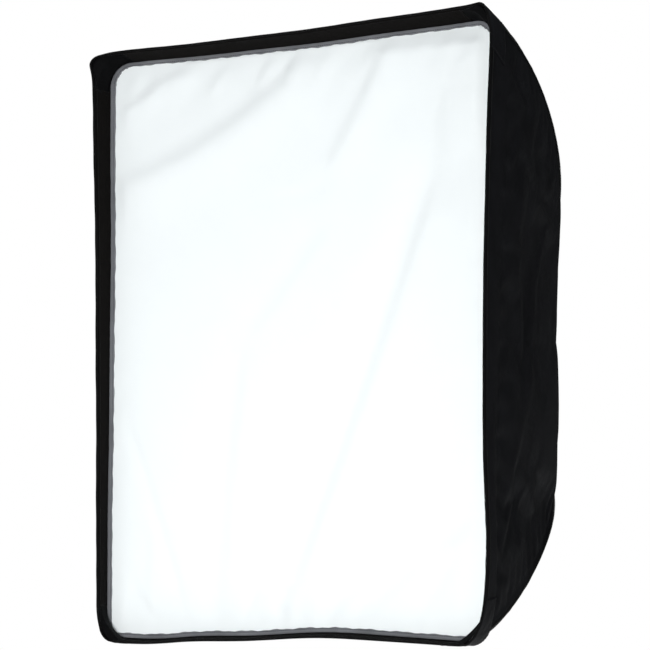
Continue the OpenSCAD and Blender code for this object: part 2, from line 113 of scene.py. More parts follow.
def sag(side, s, b):
    """How far the tight cloth pulls in between the rods. s runs from -1 to 1 along the side."""
    s = np.clip(s, -1, 1)
    flat = 0.5 * (1 - s**2) + 0.5 * (1 - s**4)
    wave = np.sin(4.1 * s + 1.3 * side) + 0.6 * np.sin(9.7 * s + 2.1 * side + 0.7)
    if side == 3:
        pull = 3.5 * flat + 6.5 * bump_at(s, 0.28, 0.36) - 3.4 * bump_at(s, -0.72, 0.2)
    else:
        pull = (5.0, 4.4, 2.8)[side] * flat
    edge = np.clip(1 - s**6, 0, 1)
    fade = np.clip((DEPTH - b) / (0.3 * DEPTH), 0, 1)
    inner = (0.2 if side == 0 else 1) + 0.5 * np.sin(np.pi * np.clip(b / DEPTH, 0, 1))
    return (pull * inner + 0.55 * wave * edge) * fade * MM


# Tension folds of a side panel: ends as (along, depth) in mm, then width and depth of the fold
PANEL_FOLDS = (
    ((360, 80), (345, 130), 10, 1.3), ((315, 15), (305, 65), 9, 1.3),
    ((235, 20), (220, 70), 9, 0.9), ((265, 130), (230, 285), 14, -0.8),
    ((175, 20), (175, 70), 8, 1.1), ((105, 20), (110, 110), 10, 1.1),
    ((100, 40), (80, 95), 9, -0.8), ((215, 340), (35, 245), 22, -1.4),
    ((35, 245), (-70, 205), 20, -1.4), ((-70, 205), (-210, 120), 18, -1.2),
    ((-150, 25), (-145, 80), 8, 1.0), ((-330, 60), (-250, 170), 13, 0.8),
)


def fold_line(x, y, start, end, width, height):
    """Height of one soft fold along a straight line, all in mm."""
    dx, dy = end[0] - start[0], end[1] - start[1]
    length = math.hypot(dx, dy)
    t = ((x - start[0]) * dx + (y - start[1]) * dy) / length**2
    gap = ((x - start[0]) * dy - (y - start[1]) * dx) / length
    past = np.maximum(np.abs(t - 0.5) - 0.5, 0) * length
    return height * np.exp(-((gap / width) ** 2) - (past / (1.6 * width)) ** 2)


def panel_folds(side, a, b, half_len):
    turn = 1 if side in (0, 1) else -1
    x = turn * a * HALF_H / half_len / MM
    y = b / MM + 0 * x
    return sum(fold_line(x, y, *fold) for fold in PANEL_FOLDS)


def strap_places():
    """Each baffle strap: its side, its place along world X or Z, and its place along the side."""
    for side, places in ((0, (-0.2, 0.0, 0.2)), (2, (-0.2, 0.0, 0.2)),
                         (1, (-0.14, 0.14)), (3, (-0.14, 0.14))):
        for along in places:
            yield side, along, along if side in (0, 3) else -along


def creases(side, a, b, half_len):
    """Soft tension folds, strongest at the mouth's corners and along the seams."""
    out = panel_folds(side, a, b, half_len)
    if side == 0:
        middle = 6.5 * bump_at(a, 0.07, 0.13) - 4.5 * bump_at(a, -0.1, 0.14)
        middle = middle + 4.5 * bump_at(a, -0.03, 0.3)
        out = out + (middle + 3.5 * bump_at(a, -0.235, 0.05)) * bump_at(b, 0.34, 0.15)
    for end in (-1, 1):
        along = np.maximum(half_len - end * a, 0)
        r = np.hypot(along, b) + 1e-6
        angle = np.arctan2(b, along + 1e-6)
        fan = np.sin(11 * angle + 0.9 * side + 1.7 * end)
        out = out + 1.2 * fan * np.exp(-r / 0.11) * np.clip(r / 0.045, 0, 1) ** 2
        seam = np.sin(2 * np.pi * b / 0.033 + 1.1 * np.sin(9 * b + side) + end)
        out = out + 0.45 * seam * np.exp(-along / 0.02) * np.clip(along / 0.01, 0, 1)
    drift = 0.35 * np.sin(6.5 * a + 2 * side) + 0.2 * np.sin(15 * a + side)
    long_fold = np.sin(2 * np.pi * (b / 0.105 + drift)) * bump_at(b, 0.17, 0.13)
    mid = np.clip(1 - (a / half_len) ** 2, 0, 1)
    out = out + 0.8 * long_fold * mid
    hem = np.sin(2 * np.pi * a / 0.041 + 1.3 * np.sin(7 * a + side))
    out = out + 0.35 * hem * np.exp(-(((b - 0.075) / 0.03) ** 2)) * mid
    behind_lip = np.clip((b - 0.010) / 0.05, 0, 1)
    at_end = np.clip((DEPTH - b) / 0.05, 0, 1)
    flat = 1 + 0 * a * b
    for place, _, middle in strap_places():
        if place == side:
            flat = flat * (1 - bump_at(a, middle, 0.035) * bump_at(b, LOOP_DEPTH, 0.035))
    return out * behind_lip * at_end * flat * MM


def on_side(side, out, y, along):
    """Points given as distance out, y and distance along, turned to one of the four sides."""
    turned = ((out, y, along), (-along, y, out), (-out, y, -along), (along, y, -out))[side]
    return np.stack(turned, -1)


def skin(side, a, b, e=0.0, creased=1.0):
    """Point on one side of the box: a along it from its middle, b behind the mouth, e inward."""
    a, b, e = np.broadcast_arrays(*(np.asarray(x, float) for x in (a, b, e)))
    half, other = halves(side)
    u = np.maximum(b, 0) / HALF_H
    width, length = half * share(u), other * share(u)
    width = np.where(b < 0, half, width)
    r = fillet(b)
    straight = length - r
    over = np.clip((np.abs(a) - straight) / r, 0, np.pi / 2)
    phi, phi_other = lean(half, u), lean(other, u)
    mid_phi = phi + (phi_other - phi) * over / (np.pi / 2)
    pull = sag(side, a / straight, b)
    pull = pull + creased * creases(side, a, b, straight + r)
    pull = np.where(over > 0, 0, pull) + e * np.cos(mid_phi)
    out = width - r + (r - pull) * np.cos(over)
    along = np.where(over > 0, straight + (r - pull) * np.sin(over), np.abs(a))
    return on_side(side, out, RIM_Y + b - e * np.sin(mid_phi), np.sign(a) * along)


def side_reach(side, b):
    """Half of a side's length over the cloth, out to the middle of the rounded corner."""
    other = halves(side)[1]
    r = fillet(b)
    return other * share(np.maximum(b, 0) / HALF_H) - r + r * np.pi / 4


# ==== mesh helpers ====


def new_piece(name, verts, faces, uvs=None):
    mesh = bpy.data.meshes.new(name)
    mesh.from_pydata([tuple(v) for v in verts], [], [tuple(f) for f in faces])
    if uvs is not None:
        layer = mesh.uv_layers.new(name="UVMap")
        loops = np.zeros(len(mesh.loops), np.int32)
        mesh.loops.foreach_get("vertex_index", loops)
        layer.data.foreach_set("uv", np.asarray(uvs, np.float32)[loops].ravel())
    mesh.polygons.foreach_set("use_smooth", [True] * len(mesh.polygons))
    mesh.validate()
    mesh.update()
    piece = bpy.data.objects.new(name, mesh)
    bpy.context.scene.collection.objects.link(piece)
    return piece


def grid_faces(n, m, wrap=False):
    i, j = np.meshgrid(np.arange(n - 1), np.arange(m if wrap else m - 1), indexing="ij")
    k = (j + 1) % m
    quads = np.stack([i * m + j, i * m + k, (i + 1) * m + k, (i + 1) * m + j], -1)
    return quads.reshape(-1, 4)


def slab(name, top, bottom, uv):
    """A closed sheet between two grids of points of the same shape."""
    n, m = top.shape[:2]
    verts = np.concatenate([top.reshape(-1, 3), bottom.reshape(-1, 3)])
    uvs = np.concatenate([uv.reshape(-1, 2)] * 2)
    count = n * m
    faces = [grid_faces(n, m), grid_faces(n, m)[:, ::-1] + count]
    index = np.arange(count).reshape(n, m)
    for line, onward in ((index[0], True), (index[-1], False),
                         (index[:, 0], False), (index[:, -1], True)):
        quads = np.stack([line[:-1], line[1:], line[1:] + count, line[:-1] + count], -1)
        faces.append(quads if onward else quads[:, ::-1])
    piece = new_piece(name, verts, np.concatenate(faces), uvs)
    make_outward(piece)
    return piece


def make_outward(piece):
    """Turns a closed mesh's faces outward."""
    mesh = piece.data
    mesh.calc_loop_triangles()
    co = np.zeros(len(mesh.vertices) * 3)
    mesh.vertices.foreach_get("co", co)
    co = co.reshape(-1, 3)
    tri = np.zeros(len(mesh.loop_triangles) * 3, np.int32)
    mesh.loop_triangles.foreach_get("vertices", tri)
    a, b, c = (co[tri.reshape(-1, 3)[:, k]] for k in range(3))
    if np.einsum("ij,ij->i", a, np.cross(b, c)).sum() < 0:
        mesh.flip_normals()


def ring_piece(name, rows, row_step, length):
    """A closed tape round a loop: rows of points, each a loop, with UVs in metres."""
    n, m = rows.shape[:2]
    wrap = np.arange(m)
    after, back = (wrap + 1) % m, (n - 1) * m
    last = np.stack([back + wrap, back + after, after, wrap], -1)
    uv = np.stack(np.meshgrid(np.arange(n) * row_step, wrap / m * length, indexing="ij"), -1)
    faces = np.concatenate([grid_faces(n, m, True), last])
    piece = new_piece(name, rows.reshape(-1, 3), faces, uv.reshape(-1, 2))
    make_outward(piece)
    return piece


def closed_loop(points):
    return np.concatenate([points, points[:1]])


def round_rectangle(w, h, r, arc, count):
    """Evenly spaced points round a rectangle of half sizes w and h with corner radius r."""
    points = []
    for quarter, (sx, sz) in enumerate(QUARTERS):
        angle = np.radians(90 * quarter) + np.linspace(0, np.pi / 2, arc)
        x, z = sx * (w - r) + r * np.cos(angle), sz * (h - r) + r * np.sin(angle)
        points.append(np.stack([x, z], -1))
    closed = closed_loop(np.concatenate(points))
    steps = np.concatenate([[0], np.cumsum(np.linalg.norm(np.diff(closed, axis=0), axis=1))])
    at = np.linspace(0, steps[-1], count, endpoint=False)
    return np.stack([np.interp(at, steps, closed[:, k]) for k in range(2)], -1)


def cubic(handles, t):
    """Points of a Bezier curve with four handles."""
    weights = ((1 - t) ** 3, 3 * t * (1 - t) ** 2, 3 * t * t * (1 - t), t**3)
    return sum(w * h for w, h in zip(weights, handles))


def normals_of(points):
    """Unit normals of a grid of points."""
    du = np.gradient(points, axis=0)
    dv = np.gradient(points, axis=1)
    n = np.cross(du, dv)
    return n / np.maximum(np.linalg.norm(n, axis=-1, keepdims=True), 1e-12)


def edge_round(n, m, across, along):
    """Height profile of a tape, from 0 at its edges to 1 inside."""
    i = np.linspace(-1, 1, n)[:, None]
    j = np.linspace(-1, 1, m)[None, :]
    pi = (1 - np.abs(i) ** across) if across else np.ones_like(i)
    pj = (1 - np.abs(j) ** along) if along else np.ones_like(j)
    return np.sqrt(np.clip(pi * pj, 0, 1))


def smooth_noise(shape, cell, seed):
    """Repeatable soft noise on a grid, about -1 to 1."""
    rng = np.random.default_rng(seed)
    coarse = rng.uniform(-1, 1, (shape[0] // cell + 3, shape[1] // cell + 3))
    i = np.arange(shape[0]) / cell
    j = np.arange(shape[1]) / cell
    i0, j0 = i.astype(int), j.astype(int)
    fi = ((i - i0) ** 2 * (3 - 2 * (i - i0)))[:, None]
    fj = ((j - j0) ** 2 * (3 - 2 * (j - j0)))[None, :]
    c = coarse
    low = c[np.ix_(i0, j0)] * (1 - fj) + c[np.ix_(i0, j0 + 1)] * fj
    high = c[np.ix_(i0 + 1, j0)] * (1 - fj) + c[np.ix_(i0 + 1, j0 + 1)] * fj
    return low * (1 - fi) + high * fi


def resample(path, step):
    """Points along a polyline, evenly spaced, with its unit directions."""
    path = np.asarray(path, float)
    length = np.concatenate([[0], np.cumsum(np.linalg.norm(np.diff(path, axis=0), axis=1))])
    count = max(2, int(length[-1] / step))
    at = np.linspace(0, length[-1], count)
    points = np.stack([np.interp(at, length, path[:, k]) for k in range(3)], -1)
    heading = np.gradient(points, axis=0)
    return points, heading / np.linalg.norm(heading, axis=1, keepdims=True)


def frame_along(heading, up):
    """Side and normal directions for a path, kept near the given up direction."""
    up = np.broadcast_to(np.asarray(up, float), heading.shape)
    across = np.cross(heading, up)
    across /= np.maximum(np.linalg.norm(across, axis=1, keepdims=True), 1e-9)
    return across, np.cross(across, heading)


def stitches(name, paths, up, pitch=3.4 * MM, long=2.5 * MM, radius=0.3 * MM):
    """Rows of short raised threads. Each path is a line of points on the cloth."""
    verts, faces = [], []
    ring, rings = 6, ((-0.5, 0.35), (-0.3, 1.0), (0.3, 1.0), (0.5, 0.35))
    angles = 2 * np.pi * np.arange(ring) / ring
    for path, row_up in zip(paths, up):
        points, heading = resample(path, pitch)
        across, normal = frame_along(heading, row_up)
        for p, d, s, n in zip(points, heading, across, normal):
            start = len(verts)
            for place, scale in rings:
                centre = p + d * place * long + n * radius * (scale - 0.8)
                for angle in angles:
                    offset = s * math.cos(angle) + n * math.sin(angle)
                    verts.append(centre + offset * radius * scale)
            faces += [tuple(f) for f in grid_faces(len(rings), ring, True) + start]
            faces.append(tuple(start + k for k in range(ring))[::-1])
            faces.append(tuple(start + (len(rings) - 1) * ring + k for k in range(ring)))
    uvs = [(v[0] + v[1], v[2] + v[1]) for v in verts]
    return new_piece(name, verts, faces, uvs)


def tube(name, path, radius, sides=16, up=(0, 0, 1)):
    """A round bar along a path."""
    path = np.asarray(path, float)
    heading = np.gradient(path, axis=0)
    heading /= np.linalg.norm(heading, axis=1, keepdims=True)
    across, normal = frame_along(heading, up)
    angles = 2 * np.pi * np.arange(sides) / sides
    offset = across[:, None] * np.cos(angles)[None, :, None]
    offset = offset + normal[:, None] * np.sin(angles)[None, :, None]
    verts = (path[:, None] + offset * np.broadcast_to(radius, len(path))[:, None, None])
    length = np.concatenate([[0], np.cumsum(np.linalg.norm(np.diff(path, axis=0), axis=1))])
    uv = np.stack(np.broadcast_arrays(length[:, None], angles[None] * 0.003), -1)
    faces = [tuple(f) for f in grid_faces(len(path), sides, True)]
    faces.append(tuple(range(sides))[::-1])
    faces.append(tuple((len(path) - 1) * sides + k for k in range(sides)))
    piece = new_piece(name, verts.reshape(-1, 3), faces, uv.reshape(-1, 2))
    make_outward(piece)
    return piece


def settle(piece, held, slack, cap, frames=22, gravity=0.0, pressure=0.0, bend=0.4):
    """Lets a held sheet of cloth find its own folds, then keeps them in the mesh."""
    mesh = piece.data
    rest = np.array([v.co for v in mesh.vertices])
    group = piece.vertex_groups.new(name="held")
    group.add([int(k) for k in held], 1.0, "REPLACE")
    cloth = piece.modifiers.new("cloth", "CLOTH")
    facts = cloth.settings
    facts.quality = 5
    facts.mass = 0.08
    facts.tension_stiffness = facts.compression_stiffness = 12
    facts.shear_stiffness = 6
    facts.bending_stiffness = bend
    facts.tension_damping = facts.compression_damping = facts.shear_damping = 8
    facts.air_damping = 3
    facts.vertex_group_mass = "held"
    facts.shrink_min = facts.shrink_max = -slack
    facts.effector_weights.gravity = gravity
    if pressure:
        facts.use_pressure = True
        facts.uniform_pressure_force = pressure
    cloth.collision_settings.use_collision = False
    cloth.collision_settings.use_self_collision = False
    cloth.point_cache.frame_end = frames
    scene = bpy.context.scene
    for number in range(1, frames + 1):
        scene.frame_set(number)
    shape = piece.evaluated_get(bpy.context.evaluated_depsgraph_get())
    co = np.zeros(len(mesh.vertices) * 3)
    shape.data.vertices.foreach_get("co", co)
    move = co.reshape(-1, 3) - rest
    size = np.linalg.norm(move, axis=1, keepdims=True)
    move *= np.tanh(size / cap) * cap / np.maximum(size, 1e-9)
    piece.modifiers.remove(cloth)
    piece.vertex_groups.clear()
    mesh.vertices.foreach_set("co", (rest + move).ravel())
    mesh.update()
    scene.frame_set(1)


# How the mouth's corners hang, as X and Z in mm: the whole frame, the lip, and its tip alone
FRAME_PULL = ((8, -1), (-7, -15), (-3, -14), (-6, -1))
LIP_PULL = ((-4.5, 11.5), (0, 3), (35, 1), (0, 4))
TIP_PULL = ((-9, 1), (-5, -5), (8, 4), (-10, 2))
TIP_REACH = 25 * MM
MID_LIFT = 13
RIGHT_BULGE = ((-310, 130, 17), (-100, 200, 4.5))
FLOOR_BELLY = -6
CORNER_TUCK = 9


def hang(points):
    """Moves points of the soft box as the rods and cloth give, and nothing at the ring."""
    u, v = points[:, 0] / HALF_W, points[:, 2] / HALF_H
    b = points[:, 1] - RIM_Y
    fade = [np.clip(1 - b / reach, 0, 1) for reach in (0.97 * DEPTH, 0.07)]
    fade = [f * f * (3 - 2 * f) for f in fade]
    move = np.zeros_like(points)
    for k, (sx, sz) in enumerate(QUARTERS):
        weight = (1 + sx * u) * (1 + sz * v) / 4
        for pull, f in zip((FRAME_PULL[k], LIP_PULL[k]), fade):
            move[:, 0] += weight * f * pull[0]
            move[:, 2] += weight * f * pull[1]
        gap = np.hypot(points[:, 0] - sx * HALF_W, points[:, 2] - sz * HALF_H)
        near = np.exp(-((gap / TIP_REACH) ** 2)) * fade[1]
        move[:, 0] += near * TIP_PULL[k][0]
        move[:, 2] += near * TIP_PULL[k][1]
    move[:, 2] += MID_LIFT * np.sin(np.pi * np.clip(b / DEPTH, 0, 1) ** 1.6)
    near_mouth = np.clip((0.08 - b) / 0.045, 0, 1)
    near_mouth = near_mouth**2 * (3 - 2 * near_mouth)
    for middle, reach, out in RIGHT_BULGE:
        bulge = out * bump_at(points[:, 2] / MM, middle, reach)
        move[:, 0] += bulge * np.clip(u, 0, 1) ** 4 * near_mouth
    corner = bump_at(points[:, 2] / MM, -410, 35) * bump_at(b, 0.055, 0.028)
    move[:, 0] -= CORNER_TUCK * corner * np.clip(u, 0, 1) ** 4
    move[:, 2] += FLOOR_BELLY * np.clip(-v, 0, 1) ** 4 * bump_at(b, 0.04, 0.03)
    return points + move * MM


def hang_all(pieces):
    for piece in pieces:
        mesh = piece.data
        co = np.zeros(len(mesh.vertices) * 3)
        mesh.vertices.foreach_get("co", co)
        mesh.vertices.foreach_set("co", hang(co.reshape(-1, 3)).ravel())
        mesh.update()


def fit_out(piece, mat, body, node=None):
    dress(piece, mat)
    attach(piece, body)
    if node:
        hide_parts(node)
    return piece


# ==== materials ====


def node_tree(name):
    mat = bpy.data.materials.new(name)
    mat.use_nodes = True
    tree = mat.node_tree
    return mat, tree, tree.nodes["Principled BSDF"]


def add(tree, kind, links=(), **values):
    node = tree.nodes.new(kind)
    for key, value in values.items():
        setattr(node, key, value)
    for socket, source in links:
        if isinstance(source, (int, float, tuple, list)):
            node.inputs[socket].default_value = source
        else:
            tree.links.new(source, node.inputs[socket])
    return node


def uv_of(tree):
    return add(tree, "ShaderNodeTexCoord").outputs["UV"]


def object_of(tree):
    return add(tree, "ShaderNodeTexCoord").outputs["Object"]


def wave(tree, coords, period, direction):
    """Bands with a period in metres."""
    links = [("Vector", coords), ("Scale", 0.314 / period), ("Distortion", 0.0)]
    return add(tree, "ShaderNodeTexWave", links, bands_direction=direction).outputs["Fac"]


def noise(tree, coords, size, detail=3.0, rough=0.55):
    links = [("Vector", coords), ("Scale", 1 / size), ("Detail", detail), ("Roughness", rough)]
    return add(tree, "ShaderNodeTexNoise", links).outputs["Fac"]


def maths(tree, operation, a, b):
    return add(tree, "ShaderNodeMath", [(0, a), (1, b)], operation=operation).outputs[0]


def ramp(tree, fac, low, high, start=0.3, end=0.7):
    node = add(tree, "ShaderNodeValToRGB", [("Fac", fac)])
    node.color_ramp.elements[0].position = start
    node.color_ramp.elements[1].position = end
    node.color_ramp.elements[0].color = (*low, 1)
    node.color_ramp.elements[1].color = (*high, 1)
    return node.outputs["Color"]


def rough_range(tree, fac, low, high):
    links = [("Value", fac), ("To Min", low), ("To Max", high)]
    return add(tree, "ShaderNodeMapRange", links).outputs["Result"]


def bump(tree, height, depth, strength=1.0, below=None):
    links = [("Height", height), ("Distance", depth), ("Strength", strength)]
    if below is not None:
        links.append(("Normal", below))
    return add(tree, "ShaderNodeBump", links).outputs["Normal"]


def weave_height(tree, coords, period):
    over = wave(tree, coords, period, "X")
    under = wave(tree, coords, period, "Y")
    return maths(tree, "MAXIMUM", over, under)


def cloth_material(name, dark, light, period, weave_depth, rough=(0.6, 0.75), sheen=0.25,
                   tint=(1, 1, 1), fold_depth=0.0, specular=0.4):
    mat, tree, shader = node_tree(name)
    uv = uv_of(tree)
    patchy = noise(tree, uv, 0.05, 4)
    tree.links.new(ramp(tree, patchy, dark, light), shader.inputs["Base Color"])
    tree.links.new(rough_range(tree, patchy, *rough), shader.inputs["Roughness"])
    normal = bump(tree, weave_height(tree, uv, period), weave_depth, 0.8)
    if fold_depth:
        normal = bump(tree, noise(tree, uv, 0.028, 2), fold_depth, 0.7, normal)
    tree.links.new(normal, shader.inputs["Normal"])
    shader.inputs["Sheen Weight"].default_value = sheen
    shader.inputs["Sheen Roughness"].default_value = 0.45
    shader.inputs["Sheen Tint"].default_value = (*tint, 1)
    shader.inputs["Specular IOR Level"].default_value = specular
    return mat


def fuzzy_material(name, dark, light, size, depth, sheen):
    """Loop or hook tape: a field of small fibres."""
    mat, tree, shader = node_tree(name)
    uv = uv_of(tree)
    fine = noise(tree, uv, size, 6, 0.7)
    rows = wave(tree, uv, size * 2.6, "Y")
    tree.links.new(ramp(tree, fine, dark, light, 0.35, 0.75), shader.inputs["Base Color"])
    shader.inputs["Roughness"].default_value = 0.95
    shader.inputs["Sheen Weight"].default_value = sheen
    shader.inputs["Sheen Roughness"].default_value = 0.6
    shader.inputs["Specular IOR Level"].default_value = 0.03
    height = maths(tree, "MULTIPLY_ADD", rows, 0.3)
    tree.links.new(fine, height.node.inputs[2])
    tree.links.new(bump(tree, height, depth), shader.inputs["Normal"])
    return mat


def silver_material(name):
    """Coated reflective lining with fine crinkles."""
    mat, tree, shader = node_tree(name)
    uv = uv_of(tree)
    crinkle = add(tree, "ShaderNodeTexVoronoi", [("Vector", uv), ("Scale", 260.0)])
    patchy = noise(tree, uv, 0.03, 5)
    tree.links.new(ramp(tree, patchy, (0.5, 0.51, 0.52), (0.66, 0.67, 0.68)),
                   shader.inputs["Base Color"])
    tree.links.new(rough_range(tree, patchy, 0.28, 0.48), shader.inputs["Roughness"])
    shader.inputs["Metallic"].default_value = 0.9
    normal = bump(tree, crinkle.outputs["Distance"], 0.0003, 0.6)
    tree.links.new(bump(tree, patchy, 0.002, 0.5, normal), shader.inputs["Normal"])
    return mat


def metal_material(name, dark, light, rough, metallic=1.0, grain=0.0006, depth=0.00004,
                   turned=False, edge=0.0004):
    """Metal with fine grain, or with turning marks about the optical axis."""
    mat, tree, shader = node_tree(name)
    coords = object_of(tree)
    patchy = noise(tree, coords, 0.02, 4)
    tree.links.new(ramp(tree, patchy, dark, light), shader.inputs["Base Color"])
    tree.links.new(rough_range(tree, patchy, *rough), shader.inputs["Roughness"])
    shader.inputs["Metallic"].default_value = metallic
    rounded = add(tree, "ShaderNodeBevel", [("Radius", edge)])
    rounded.samples = 4
    if turned:
        links = [("Vector", coords), ("Scale", 0.314 / 0.0011), ("Distortion", 0.4)]
        height = add(tree, "ShaderNodeTexWave", links, wave_type="RINGS",
                     rings_direction="Y").outputs["Fac"]
    else:
        height = noise(tree, coords, grain, 2, 0.6)
    tree.links.new(bump(tree, height, depth, 0.6, rounded.outputs["Normal"]),
                   shader.inputs["Normal"])
    return mat


def thread_material(name, dark, light):
    mat, tree, shader = node_tree(name)
    coords = object_of(tree)
    fibre = noise(tree, coords, 0.0004, 3)
    tree.links.new(ramp(tree, fibre, dark, light), shader.inputs["Base Color"])
    shader.inputs["Roughness"].default_value = 0.6
    shader.inputs["Specular IOR Level"].default_value = 0.15
    tree.links.new(bump(tree, fibre, 0.00008), shader.inputs["Normal"])
    return mat


NYLON = cloth_material("nylon_black", (0.0050, 0.0051, 0.0060), (0.0090, 0.0092, 0.0108),
                       0.0009, 0.00006, (0.5, 0.62), 0.0, fold_depth=0.0003, specular=0.05)
# A heavier weave of the black nylon for the pockets inside the lip. Its colour is about half the
# outer nylon's, darkened as painted shade of the lip's recess.
LIP_NYLON_PAINTED_SHADE = cloth_material("lip_nylon_painted_shade", (0.0022, 0.0022, 0.0024), (0.0042, 0.0042, 0.0046),
                           0.0011, 0.00012, (0.6, 0.75), 0.0, fold_depth=0.0006, specular=0.03)
WEBBING = cloth_material("webbing_black", (0.0030, 0.0029, 0.0030), (0.0065, 0.0063, 0.0065),
                         0.0013, 0.00016, (0.65, 0.8), 0.0, specular=0.04)
SEAM = cloth_material("seam_tape", (0.009, 0.009, 0.0085), (0.017, 0.0165, 0.0155),
                      0.0011, 0.00013, (0.5, 0.65), 0.0, specular=0.06)
BINDING = cloth_material("grey_binding", (0.125, 0.128, 0.137), (0.185, 0.188, 0.201),
                         0.0012, 0.00016, (0.6, 0.75), 0.03, specular=0.1)
WHITE = cloth_material("white_cloth", (0.848, 0.876, 0.880), (0.858, 0.886, 0.890),
                       0.0008, 0.00002, (0.7, 0.8), 0.0, fold_depth=0.0001, specular=0.1)
BAFFLE = cloth_material("baffle_cloth", (0.80, 0.82, 0.82), (0.86, 0.87, 0.87),
                        0.0009, 0.00004, (0.75, 0.85), 0.05, fold_depth=0.0006)
BAFFLE_HEM = cloth_material("baffle_binding", (0.66, 0.67, 0.67), (0.76, 0.77, 0.77),
                            0.0013, 0.00015, (0.75, 0.85), 0.1)
ELASTIC = cloth_material("black_elastic", (0.006, 0.006, 0.006), (0.014, 0.014, 0.014),
                         0.0016, 0.0003, (0.7, 0.8), 0.0, specular=0.1)
LOOP = fuzzy_material("loop_tape", (0.0016, 0.0014, 0.0013), (0.0085, 0.0072, 0.0066),
                      0.0011, 0.0006, 0.01)
HOOK = fuzzy_material("hook_tape", (0.003, 0.003, 0.003), (0.012, 0.012, 0.0125),
                      0.0014, 0.0008, 0.01)
SILVER = silver_material("silver_lining")
THREAD = thread_material("thread_black", (0.006, 0.006, 0.0065), (0.014, 0.014, 0.015))
WHITE_THREAD = thread_material("thread_white", (0.7, 0.7, 0.7), (0.85, 0.85, 0.85))
CAST = metal_material("cast_insert", (0.50, 0.51, 0.52), (0.62, 0.63, 0.64), (0.32, 0.45),
                      turned=True, depth=0.00003)
STEEL = metal_material("plated_steel", (0.62, 0.63, 0.65), (0.74, 0.75, 0.77), (0.2, 0.32),
                       depth=0.00001)
ANODISED = metal_material("black_aluminium", (0.012, 0.012, 0.013), (0.024, 0.024, 0.026),
                          (0.38, 0.52), 0.55, 0.0004, 0.00004)
SPRING = metal_material("spring_steel", (0.16, 0.16, 0.17), (0.24, 0.24, 0.25), (0.3, 0.42),
                        depth=0.00001)
BRASS = metal_material("brass", (0.60, 0.44, 0.16), (0.70, 0.53, 0.22), (0.25, 0.4),
                       depth=0.00001)
PLASTIC = metal_material("black_plastic", (0.009, 0.009, 0.009), (0.016, 0.016, 0.016),
                         (0.45, 0.6), 0.0, 0.0006, 0.00006)

CAD_LOOKS = {
    CAST: ("adapter_insert",),
    STEEL: ("bayonet_ring", "bayonet_screws", "retaining_screws", "socket_screws",
            "clamp_screws", "rod_ferrules", "lock_screw"),
    ANODISED: ("speed_ring", "retaining_ring", "rod_sockets"),
    BRASS: ("lock_pad",),
    PLASTIC: ("lock_knob",),
}


def dress_cad():
    for mat, names in CAD_LOOKS.items():
        for name in names:
            mesh = frame["nodes"][name].data
            mesh.materials.clear()
            mesh.materials.append(mat)


def dress(piece, *mats):
    for mat in mats:
        piece.data.materials.append(mat)
    return piece


# ==== shell panels ====


def panel(side):
    """One cloth side of the box: black outside, silver inside behind the lip."""
    rows, columns = (104, 132) if side % 2 == 0 else (104, 108)
    b = DEPTH * np.linspace(0, 1, rows)[:, None] ** 1.05
    t = np.linspace(-1, 1, columns)[None, :]
    a = (t + 0.06 * np.sin(np.pi * t)) * side_reach(side, b)
    grid = skin(side, a, b, CLOTH / 2)
    name = f"shell_{SIDES[side]}_cloth"
    sheet = new_piece(name + "_sim", grid.reshape(-1, 3), grid_faces(rows, columns))
    half = halves(side)[1] * share(b / HALF_H)
    near = (b < TAPE_BACK + 0.004) | (b > DEPTH - 0.006) | (np.abs(a) > half - 0.026)
    for place, _, middle in strap_places():
        if place == side:
            near |= (np.abs(a - middle) < 0.016) & (np.abs(b - LOOP_DEPTH) < 0.018)
    settle(sheet, np.flatnonzero(near.ravel()), 0.010, 7 * MM, bend=1.2)
    grid = np.array([v.co for v in sheet.data.vertices]).reshape(rows, columns, 3)
    bpy.data.objects.remove(sheet)
    normal = normals_of(grid)
    centre = np.array([0, grid[..., 1].mean(), 0])
    outward = np.einsum("ijk,ijk->ij", normal, grid - centre).mean()
    normal *= math.copysign(0.45 * MM, outward)
    uv = np.stack(np.broadcast_arrays(a, b), -1)
    piece = slab(name, grid + normal, grid - normal, uv)
    fit_out(piece, NYLON, "box", f"shell_{SIDES[side]}")
    line_inside(piece, (rows - 1) * (columns - 1))
    half, other = halves(side)


def line_inside(piece, count):
    """Gives a panel's inner faces behind the lip the silver lining."""
    mesh = piece.data
    dress(piece, SILVER)
    centres = np.zeros(len(mesh.polygons) * 3)
    mesh.polygons.foreach_get("center", centres)
    number = np.arange(len(mesh.polygons))
    lined = (number >= count) & (number < 2 * count)
    lined &= centres.reshape(-1, 3)[:, 1] > RIM_Y + TAPE_BACK
    mesh.polygons.foreach_set("material_index", lined.astype(np.int32))


def skin_tape(name, side, a_range, b_range, e, thick, steps=(10, 200), fuzz=0.0,
              rounding=(8, 120), wobble=0.0):
    """A tape on the cloth. Positive e and thick are inside the box, negative outside."""
    n, m = steps
    b = np.linspace(*b_range, n)[:, None]
    a = np.linspace(*a_range, m)[None, :]
    b = b + wobble * np.sin(a / 0.031 + side) + 0 * a
    rise = thick * edge_round(n, m, *rounding)
    if fuzz:
        rise = rise + fuzz * smooth_noise((n, m), 1, side + 11) * (rise != 0)
    top = skin(side, a, b, e + rise)
    bottom = skin(side, a, b, e + 0 * rise)
    uv = np.stack(np.broadcast_arrays(a, b), -1)
    return slab(name, top, bottom, uv)


